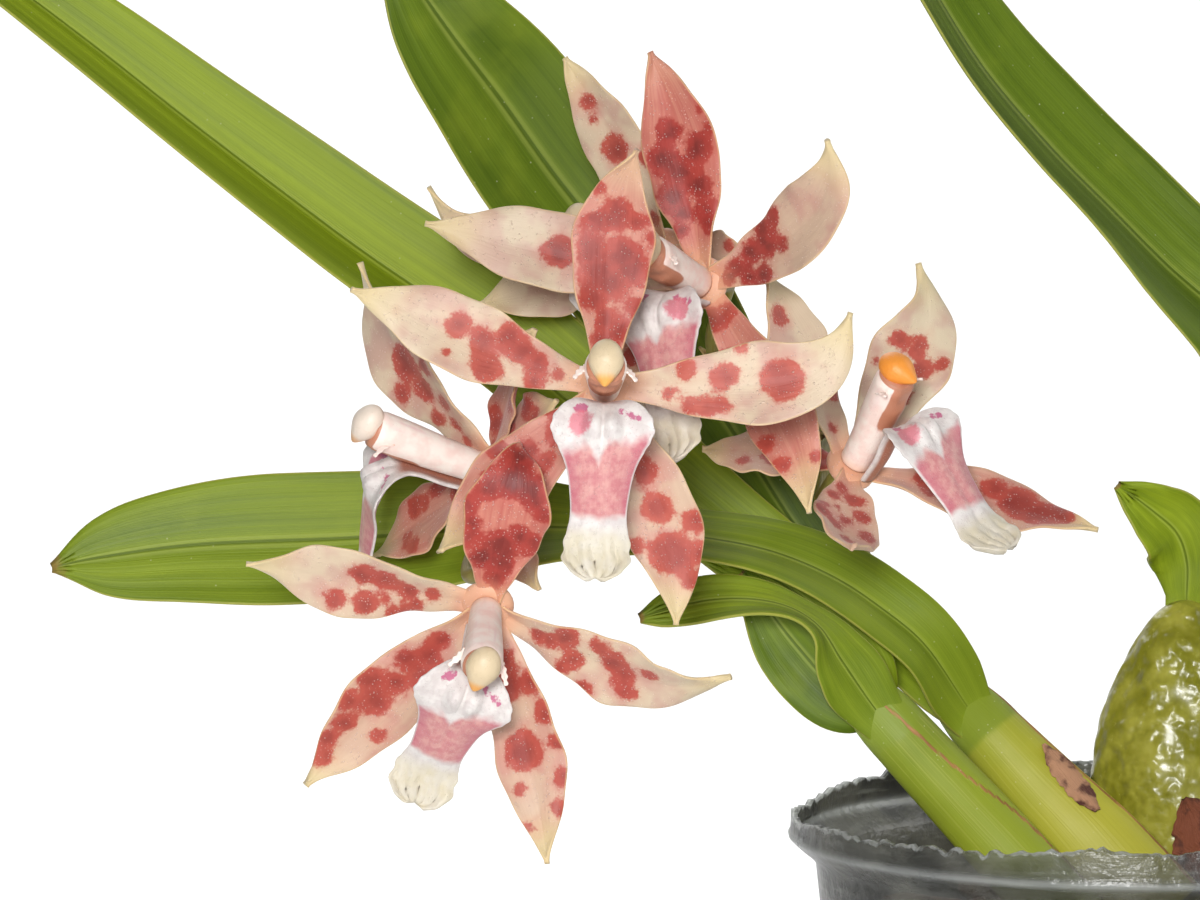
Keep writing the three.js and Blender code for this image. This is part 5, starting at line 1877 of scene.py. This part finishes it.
@dataclass
class Bulb:
    """The flattened egg of the pseudobulb, wrinkled as it shrinks."""

    centre: Array = field(default_factory=BULB_CENTRE.copy)
    half: Array = field(default_factory=BULB_HALF.copy)

    def build(self) -> None:
        """Builds the bulb with furrows that run round and down it, and dresses it."""

        def lift(height: Array, turn: Array) -> Array:
            """Sums sines for furrows and finer wrinkles, which die away at the poles."""
            furrow = np.sin(6 * turn + 0.3 + 2.5 * height) + 0.7 * np.sin(11 * height + 3 * turn)
            fine = np.sin(17 * height + 5 * turn + 2 * np.sin(4 * turn)) * 0.35
            fine = fine + 0.3 * np.sin(29 * height - 9 * turn + 1.5 * np.sin(7 * turn))
            return 0.022 * (furrow + fine) * (1 - height * height)

        egg = dome(self.half, 150, 160, lift)
        neck = 1 - 0.2 * ease((2 * egg.along - 0.8) / 1.2)
        slim = np.stack([neck, neck, np.ones_like(neck)], -1)
        skin = Skin(egg.points * slim + self.centre, egg.along, egg.across)
        finish = BulbFinish("bulb_tissue", coat=0.22, coat_roughness=0.14)
        dress(write_mesh("bulb_skin", [skin]), finish, Slot.BULB, "pseudobulb")


@dataclass
class FlowerStem:
    """The arching stem with a stalk and a small bract for each bloom."""

    route: Points = (
        (-4.0, 10.6, 57.2), (-5.4, 11.2, 64.0), (-9.6, 12.5, 73.6), (-15.6, 14.0, 82.0),
        (-22.9, 15.5, 90.4), (-29.6, 17.0, 98.9), (-32.7, 16.4, 107.5), (-34.3, 11.5, 114.4),
        (-36.1, 4.0, 120.3), (-38.9, -2.0, 124.5), (-43.7, -7.0, 126.9), (-49.6, -9.5, 126.2),
        (-56.1, -10.5, 123.8), (-63.0, -11.5, 120.8), (-67.6, -14.0, 119.0), (-71.3, -17.0, 116.0),
        (-73.5, -20.0, 112.7),
    )
    radius: float = 1.4
    stalk_radius: float = 1.0
    stalks: dict[str, tuple[float, Points]] = field(
        default_factory=lambda: {
            "bloom_5": (0.47, ((-36.5, -6, 117.5), (-37, -13, 114))),
            "bloom_6": (0.62, ((-48.5, -4.5, 132.5),)),
            "bloom_2": (0.68, ((-50.1, -17, 131),)),
            "bloom_1": (0.8, ((-59.4, -18, 118.6), (-61.2, -32, 123.6))),
            "bloom_4": (0.88, ((-70, -23, 118),)),
            "bloom_3": (0.985, ((-76.8, -28, 108.2), (-77.6, -36, 105.6))),
        }
    )

    def girth(self, t: Array) -> Array:
        """Gives the stem's radius, a little thicker at each of its nodes."""
        nodes = np.array([0.12, 0.3, 0.47, 0.62, 0.68, 0.8, 0.88])
        return self.radius * (1.05 - 0.3 * t + 0.12 * hump(t[:, None], nodes, 0.008).sum(axis=1))

    def stalk_girth(self, t: Array) -> Array:
        """Gives a stalk's radius, thicker towards its bloom."""
        return self.stalk_radius * (0.85 + 0.75 * ease((t - 0.45) / 0.5))

    def bract(self, foot: Array, away: Array) -> Skin:
        """Builds a small pointed bract that hugs the foot of a stalk.

        Args:
            foot: Where the stalk leaves the stem.
            away: The stalk's direction there.

        Returns:
            The skin with the mark bract.
        """
        side = unit(np.cross(away, [0.3, 1.0, 0.2]))
        line = Route([foot - away, foot + 2.2 * away + 0.9 * side, foot + 6.2 * away + 1.9 * side])
        blade = Blade(
            midline=line.along, facing=steady(side), half=lambda t: 1.9 * (1 - 0.93 * t**1.4),
            fold=lambda t: -0.75 + 0 * t, thickness=0.35, rows=26, around=24,
        )
        return blade.skin().marked(bract=1.0)

    def build(self) -> None:
        """Builds the stem, its stalks and its bracts as one mesh, and dresses it."""
        main = np.array(self.route, float)
        skins = [rod(main, self.girth, 260, 20)]
        blooms = {bloom.name: bloom for bloom in BLOOMS}
        for name, (share, route) in self.stalks.items():
            bloom = blooms[name]
            start = Route(main).at(np.array([share]))[0]
            ends = [
                bloom.basis() @ np.array([0, 0, HUB_BACK - behind]) + bloom.centre
                for behind in (5.0, 0.1)
            ]
            points = np.vstack([start, np.array(route, float), *ends])
            skins.append(rod(points, self.stalk_girth, 70, 20))
            skins.append(self.bract(start, unit(points[1] - start)))
        piece = write_mesh("stem_and_stalks", skins)
        dress(piece, StemFinish("stem_tissue"), Slot.STEM, "flower_stem")


@dataclass
class DryBract:
    """A dry papery bract that clings to a shoot."""

    name: str
    route: Points
    face: Triple
    width: float
    finish: DryFinish = DryFinish("dry_tissue")

    def build(self) -> None:
        """Builds the bract with a ragged margin, pointed at both ends, and dresses it."""
        line = Route(self.route)

        def half(t: Array) -> Array:
            """Tapers by a sine to both ends, with a ragged margin."""
            taper = np.maximum(0.06, np.sin(np.pi * (0.04 + 0.96 * t)) ** 0.7)
            return self.width / 2 * taper * (1 + 0.06 * np.sin(41 * t) + 0.04 * np.sin(83 * t))

        blade = Blade(
            midline=line.along, facing=steady(self.face), half=half,
            fold=lambda t: np.radians(-12) + 0 * t, thickness=0.4, rows=60, around=40,
            relief=lambda t, v: 0.12 * np.sin(13 * t + 5 * v) * (0.3 + v * v),
        )
        piece = write_mesh(f"{self.name}_paper", [blade.skin()])
        dress(piece, self.finish, Slot.DRY, self.name)


DRY_BRACTS = [
    DryBract(
        "dry_bract_front", face=(0.31, -0.75, 0.58), width=3.6,
        route=((-4.6, -7.7, 75.2), (-7.4, -5.7, 78.6), (-10.6, -3.4, 82.4)),
    ),
    DryBract(
        "dry_bract_bulb", face=(0.1, -1, 0.1), width=9,
        route=((12.0, -3.2, 63.5), (9.6, -3.6, 69.5), (6.0, -3.9, 76.0)),
        finish=DryFinish("dry_scale", pale=screen(130, 70, 44), dark=screen(58, 26, 18)),
    ),
]


def inner_radius(z: Array) -> Array:
    """Gives the pot's inner radius at a height below its neck."""
    share = (z - POT_FLOOR) / (POT_NECK_HEIGHT - POT_FLOOR)
    return POT_BASE - POT_WALL + share * (POT_NECK - POT_BASE)


@dataclass
class Roots:
    """The creeping stem under the bark's surface and the roots that run down the wall."""

    creeping: Points = (
        (-10, -12, 56.5), (-3, -8.5, 56), (4, -6, 56), (12, -6.5, 56), (19, -5.5, 56.5),
    )
    ends: tuple[float, ...] = (195, 240, 285, 330)
    radius: float = 1.3

    def path(self, degrees: float, number: int) -> Array:
        """Gives a root's points: out to the wall, and down round it.

        Args:
            degrees: Where it meets the wall.
            number: Its place among the roots.

        Returns:
            The points.
        """
        start = Route(self.creeping).at(np.array([0.1 + 0.26 * number]))[0]

        def on_wall(turn: float, z: float) -> Array:
            """Gives the point just inside the wall at an angle and a height."""
            reach = float(inner_radius(np.array(z))) - self.radius - 1.2
            angle = math.radians(turn)
            return np.array([reach * math.cos(angle), reach * math.sin(angle), z])

        first = on_wall(degrees, 44)
        halfway = (start + first) / 2
        halfway[2] = 50
        rest = [on_wall(degrees + 14, 33), on_wall(degrees + 22, 22), on_wall(degrees + 40, 12)]
        return np.vstack([start, halfway, first, *rest])

    def wavy(self, number: int) -> Curve:
        """Makes a root's radius, which swells and shrinks a little along it."""
        return lambda t: self.radius * (1 + 0.08 * np.sin(35 * t + number))

    def build(self) -> None:
        """Builds the creeping stem, the seats of the shoots and the roots, and dresses them."""
        creeping = np.array(self.creeping, float)

        def ringed(t: Array) -> Array:
            """Gives the radius, ringed by a sine and narrower at both ends."""
            return 3.0 * (1 + 0.05 * np.sin(60 * t)) * np.clip(0.6 + 8 * np.minimum(t, 1 - t), 0, 1)

        skins = [rod(creeping, ringed, 80, 28)]
        for shoot in SHOOTS.values():
            foot, second = (np.array(shoot.route[k], float) for k in (0, 1))
            axis = unit(second - foot)
            points = np.vstack([foot - axis * 5.8, foot - axis * 3, foot - axis * 0.3])
            wide = shoot.start[1] + 0.4
            skins.append(rod(points, lambda t: 3 + (wide - 3) * t, 20, 28))
        for number, degrees in enumerate(self.ends):
            skins.append(rod(self.path(degrees, number), self.wavy(number), 90, 18))
        piece = write_mesh("creeping_stem_and_roots", skins)
        dress(piece, RootFinish("root_skin"), Slot.ROOT, "rhizome_roots")


# How far out chips lie, and round places that they leave free: X, Y and radius
CHIP_REACH = 30.0
CHIP_FREE = (
    (2.5, -6.0, 6.5), (-7.5, -10.5, 6.0), (19.0, -5.5, 5.5), (7.3, 6.0, 10.5), (-4.2, 10.8, 3.5),
)


@dataclass
class Bark:
    """The filling: a rough plug under loose chips."""

    chips: int = 210
    seed: int = 11

    def plug(self) -> Skin:
        """Builds the plug: straight sides inside the wall and a lumpy top.

        A ring lies at each height up the side, and then rings of shrinking radius cross the
        top, whose height is the bark's top less slow waves of both plan directions.

        Returns:
            The skin.
        """
        up, over = 40, 30
        heights = np.linspace(POT_FLOOR + 0.3, BARK_TOP - 3, up)
        side = np.minimum(inner_radius(heights) - 0.6, inner_radius(np.array(BARK_TOP)) - 0.6)
        reach = np.concatenate([[side[0] - 0.4], side, side[-1] * np.linspace(0.97, 0.02, over)])
        top = np.full(over, BARK_TOP - 2.2)
        z = np.concatenate([[heights[0]], heights, top])[:, None]
        turn = full_turn(120)[None]
        x, y = reach[:, None] * np.cos(turn), reach[:, None] * np.sin(turn)
        waves = np.sin(0.5 * x + 1) * np.sin(0.43 * y) + 0.6 * np.sin(0.9 * x - 0.7 * y)
        onto = (np.arange(len(reach)) > up)[:, None]
        points = np.stack([x, y, z + onto * 0.9 * waves], -1)
        share = np.linspace(0, 1, len(reach))[:, None]
        return Skin(points, share, np.cos(turn)).marked(tint=0.0)

    def chip(self, draw: np.random.Generator) -> Skin:
        """Builds one chip: a box with worn edges, stretched, bent and turned at random.

        Args:
            draw: The random numbers.

        Returns:
            The skin with the mark tint.
        """
        size = np.array([4.5, 2.6, 1.4]) * (0.7 + 0.7 * draw.random(3))
        rows, around = 4, 7
        t = np.linspace(-1, 1, rows)[:, None]
        turn = 2 * np.pi * (np.arange(around)[None] + 0.5) / around
        squared = np.maximum(np.abs(np.cos(turn)), np.abs(np.sin(turn)))
        ends = (1 - np.abs(t) ** 6) ** 0.5 * 0.55 + 0.42
        wobble = 1 + 0.22 * (draw.random((rows, around)) - 0.5)
        x = t * size[0]
        y = size[1] * np.cos(turn) / squared * ends * wobble
        z = size[2] * np.sin(turn) / squared * ends * wobble + 0.25 * t * t * size[2]
        points = np.stack(np.broadcast_arrays(x, y, z), -1)
        lean = turned(0.7 * (draw.random() - 0.5), "X") @ turned(0.7 * (draw.random() - 0.5), "Y")
        basis = turned(2 * np.pi * draw.random(), "Z") @ lean
        skin = Skin(points, (t + 1) / 2, np.cos(turn)).placed(basis, self.spot(draw))
        return skin.marked(tint=float(draw.random()))

    @staticmethod
    def spot(draw: np.random.Generator) -> Array:
        """Draws a chip's place on the top, clear of the shoots, the bulb and the wall.

        Args:
            draw: The random numbers.

        Returns:
            The place.
        """
        while True:
            reach = CHIP_REACH * math.sqrt(draw.random())
            turn = 2 * math.pi * draw.random()
            x, y = reach * math.cos(turn), reach * math.sin(turn)
            if all(math.hypot(x - a, y - b) > c for a, b, c in CHIP_FREE):
                return np.array([x, y, BARK_TOP - 0.8 + 2.2 * draw.random()])

    def build(self) -> None:
        """Builds the filling and dresses it."""
        draw = np.random.default_rng(self.seed)
        skins = [self.plug()] + [self.chip(draw) for _ in range(self.chips)]
        piece = write_mesh("bark_chips", skins)
        dress(piece, BarkFinish("bark_wood"), Slot.BARK, "bark")


@dataclass
class Pot:
    """The clear pot: a thin turned shell, a flared lip and a torn rim with small teeth."""

    around: int = 600
    seed: int = 4
    bead: float = POT_LIP_HEIGHT - 0.2
    ring: float = 40.0
    drain_circle: float = 18.0
    drain_radius: float = 3.0

    def rim(self, turn: Array) -> Array:
        """Gives the rim's height: slow waves, a dip on the left and small uneven teeth.

        Args:
            turn: Evenly spaced angles round the pot.

        Returns:
            The heights.
        """
        left = np.pi - np.abs(np.angle(np.exp(1j * turn)))
        dip = 1.7 * hump(left, 0, 0.75)
        slow = 0.3 * (np.sin(5 * turn + 3) + 0.6 * np.sin(13 * turn))
        draw = np.random.default_rng(self.seed)
        teeth = draw.normal(size=turn.shape)
        kernel = np.array([0.25, 0.5, 0.25])
        teeth = np.convolve(np.tile(teeth, 3), kernel, "same")[turn.size : 2 * turn.size]
        return POT_RIM_HEIGHT - dip + slow + 0.34 * teeth - 0.3

    def skin(self) -> Skin:
        """Builds the shell as rings up the outside, over the rim and down the inside.

        Returns:
            The skin.
        """
        turn = full_turn(self.around)
        wall = POT_WALL - 0.1
        outside = [(4.0, 0.0), (POT_BASE - 1.0, 0.0), (POT_BASE, 1.0)]
        # Rings up the wall: first height, last height and how many, closest at the raised ring
        stretches = ((4, 38, 9), (38.8, 41.2, 9), (44, 64.5, 8), (65, POT_NECK_HEIGHT, 12))
        rising = np.concatenate([np.linspace(*stretch) for stretch in stretches])
        slope = (POT_NECK - POT_BASE) / (POT_NECK_HEIGHT - 1.0)
        outside += [(POT_BASE + slope * (z - 1.0), z) for z in rising]
        flare_rings, rise = 11, 3.7
        for s in np.linspace(0, 1, flare_rings + 1)[1:]:
            flared = POT_NECK + (POT_LIP - POT_NECK) * float(ease(s))
            outside.append((flared, POT_NECK_HEIGHT + rise * s))
        radius, height = np.array(outside).T
        bead = 0.25 * hump(height, self.bead, 0.45) + 0.2 * hump(height, self.ring, 0.6)
        rim = self.rim(turn)
        lip_steps = np.linspace(0, 1, 10)[1:]
        rows = [*zip(radius + bead, height)]
        for inset, shares in ((0.0, lip_steps), (wall, lip_steps[::-1])):
            for s in shares:
                curl = POT_LIP - inset - 0.2 * s + 0.12 * np.sin(9 * turn) * s
                rows.append((curl, POT_LIP_HEIGHT + (rim - POT_LIP_HEIGHT) * s))
        inside = [*zip(radius[-flare_rings:], height[-flare_rings:] + 0.2)][::-1]
        inside += [(POT_BASE + slope * (z - 1.0), z) for z in np.linspace(66, POT_FLOOR + 1, 7)]
        rows += [(r - wall, z) for r, z in inside]
        rows += [(POT_BASE - wall - 1, POT_FLOOR), (4.0, POT_FLOOR)]
        r, z = (np.array([row[k] + 0 * turn for row in rows]) for k in (0, 1))
        points = np.stack([r * np.cos(turn), r * np.sin(turn), z], -1)
        return Skin(points, np.clip(z / POT_RIM_HEIGHT, 0, 1), np.cos(turn))

    def mark(self, mesh: bpy.types.Mesh) -> None:
        """Stores at each point how near it is to the rim and to a bead, and how far back it is.

        Args:
            mesh: The pot's mesh.
        """
        places = np.empty(3 * len(mesh.vertices), np.float32)
        mesh.vertices.foreach_get("co", places)
        x, y, z = places.reshape(-1, 3).T / MM
        turn = full_turn(self.around)
        rim = np.interp(np.arctan2(y, x) % (2 * np.pi), turn, self.rim(turn), period=2 * np.pi)
        store(mesh, "torn", ease((z - (rim - 0.9)) / 0.9))
        store(mesh, "ring", hump(z, self.bead, 0.5) + hump(z, self.ring, 0.5))
        # The back half's mark makes the finish nearly opaque there, as painted shade.
        store(mesh, "far", ease(y / 40 + 0.5))

    def drained(self, piece: bpy.types.Object) -> None:
        """Cuts the drain holes out of the floor, each with a round rod, and drops the rods.

        Args:
            piece: The pot.
        """
        rods = []
        for turn in np.pi * (np.arange(4) + 0.5) / 2:
            foot = np.array([math.cos(turn), math.sin(turn), 0]) * self.drain_circle
            points = foot + np.array([[0, 0, -3], [0, 0, 1], [0, 0, 5]])
            rods.append(rod(points, lambda t: np.full_like(t, self.drain_radius), 3, 32))
        cutter = write_mesh("drain_rods", rods)
        cut = piece.modifiers.new("drain", "BOOLEAN")
        cut.operation = "DIFFERENCE"
        cut.solver = "EXACT"
        cut.object = cutter
        whole = piece.evaluated_get(bpy.context.evaluated_depsgraph_get())
        piece.data = bpy.data.meshes.new_from_object(whole)
        piece.modifiers.clear()
        bpy.data.objects.remove(cutter)

    def build(self) -> None:
        """Builds the pot and dresses it."""
        piece = write_mesh("clear_pot", [self.skin()])
        self.drained(piece)
        self.mark(piece.data)
        dress(piece, PotFinish("hazy_plastic", specular=0.6), Slot.POT, "pot")


# Studio


@dataclass
class Studio:
    """The camera, the lights and the pale floor that sweeps up behind the plant."""

    target: Triple = (-63.0, 0.0, 117.0)
    distance: float = 600.0
    pitch: float = 4.0
    millimetres_a_pixel: float = 0.1183
    image_width: int = 1200
    sensor: float = 36.0
    air: float = 0.08

    def camera(self) -> None:
        """Places the camera at the photograph's angle."""
        pitch = math.radians(self.pitch)
        forward = Vector((0, math.cos(pitch), -math.sin(pitch)))
        data = bpy.data.cameras.new("camera")
        data.sensor_width = self.sensor
        data.lens = self.sensor * self.distance / (self.image_width * self.millimetres_a_pixel)
        data.clip_start = 0.01
        eye = add_object("camera", data)
        eye.location = (Vector(self.target) - forward * self.distance) * MM
        eye.rotation_euler = (math.radians(90 - self.pitch), 0, 0)
        bpy.context.scene.camera = eye

    def lamp(
        self,
        name: str,
        place: Triple,
        size: float,
        power: float,
        mark: Triple = (-60.0, -20.0, 115.0),
    ) -> None:
        """Adds a square soft light.

        Args:
            name: The lamp's name.
            place: Where it stands.
            size: The side of its square.
            power: Its power in watts.
            mark: The point that it looks at, the blooms unless given.
        """
        data = bpy.data.lights.new(name, "AREA")
        data.size = size * MM
        data.energy = power
        lamp = add_object(name, data)
        lamp.location = Vector(place) * MM
        aim = Vector(mark) - Vector(place)
        lamp.rotation_euler = aim.to_track_quat("-Z", "Y").to_euler()

    def backdrop(self) -> None:
        """Builds the floor and the wall as one sheet whose profile turns up in a quarter circle."""
        bend, far, high, reach = 300.0, 700.0, 1500.0, 5000.0
        turn = np.linspace(0, np.pi / 2, 24)
        y = np.concatenate([[-reach], far + bend * np.sin(turn), [far + bend]])
        z = np.concatenate([[0.0], bend * (1 - np.cos(turn)), [high]])
        x = np.tile([-reach, reach], len(y))
        points = np.stack([x, np.repeat(y, 2), np.repeat(z, 2)], -1)
        mesh = bpy.data.meshes.new("studio_floor")
        first = 2 * np.arange(len(y) - 1)
        faces = np.stack([first, first + 1, first + 3, first + 2], -1)
        mesh.from_pydata((points * MM).tolist(), [], faces.tolist())
        mesh.polygons.foreach_set("use_smooth", np.full(len(faces), True))
        floor = add_object("studio_floor", mesh)
        mesh.materials.append(PlainFinish("studio_pale").material())
        floor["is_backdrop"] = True

    def sky(self) -> None:
        """Fills the shadows with an even pale light."""
        world = bpy.data.worlds.new("studio_air")
        world.use_nodes = True
        air = world.node_tree.nodes["Background"]
        air.inputs["Color"].default_value = (1.0, 1.0, 1.0, 1.0)
        air.inputs["Strength"].default_value = self.air
        bpy.context.scene.world = world
        bpy.context.scene.view_settings.view_transform = "Standard"

    def build(self) -> None:
        """Sets up the whole studio."""
        self.camera()
        self.sky()
        self.lamp("key", (-105.0, -650.0, 225.0), 100.0, 3.3)
        self.lamp("fill", (80.0, -720.0, 160.0), 400.0, 0.6)
        self.lamp("wall", (-60.0, 320.0, 620.0), 500.0, 5.0, (-60.0, 950.0, 120.0))
        self.lamp("back", (-300.0, 620.0, 760.0), 600.0, 2.6)
        self.lamp("side", (900.0, 200.0, 700.0), 700.0, 3.2)
        self.backdrop()


def corners(bounds: object) -> list[list[float]]:
    """Turns a box into plain lists of numbers."""
    return [[float(value) for value in corner] for corner in bounds]


def main() -> None:
    """Builds the studio and every piece of the plant."""
    logging.basicConfig(level=logging.INFO, format="%(message)s")
    solid_box = corners(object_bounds())
    Studio().build()
    Pot().build()
    Bark().build()
    Roots().build()
    Bulb().build()
    for shoot in SHOOTS.values():
        shoot.build()
    for leaf in LEAVES:
        leaf.build()
    for bract in DRY_BRACTS:
        bract.build()
    FlowerStem().build()
    for bloom in BLOOMS:
        bloom.build()
    {"solids": solid_box, "visual": corners(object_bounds())}


if __name__ == "__main__":
    main()
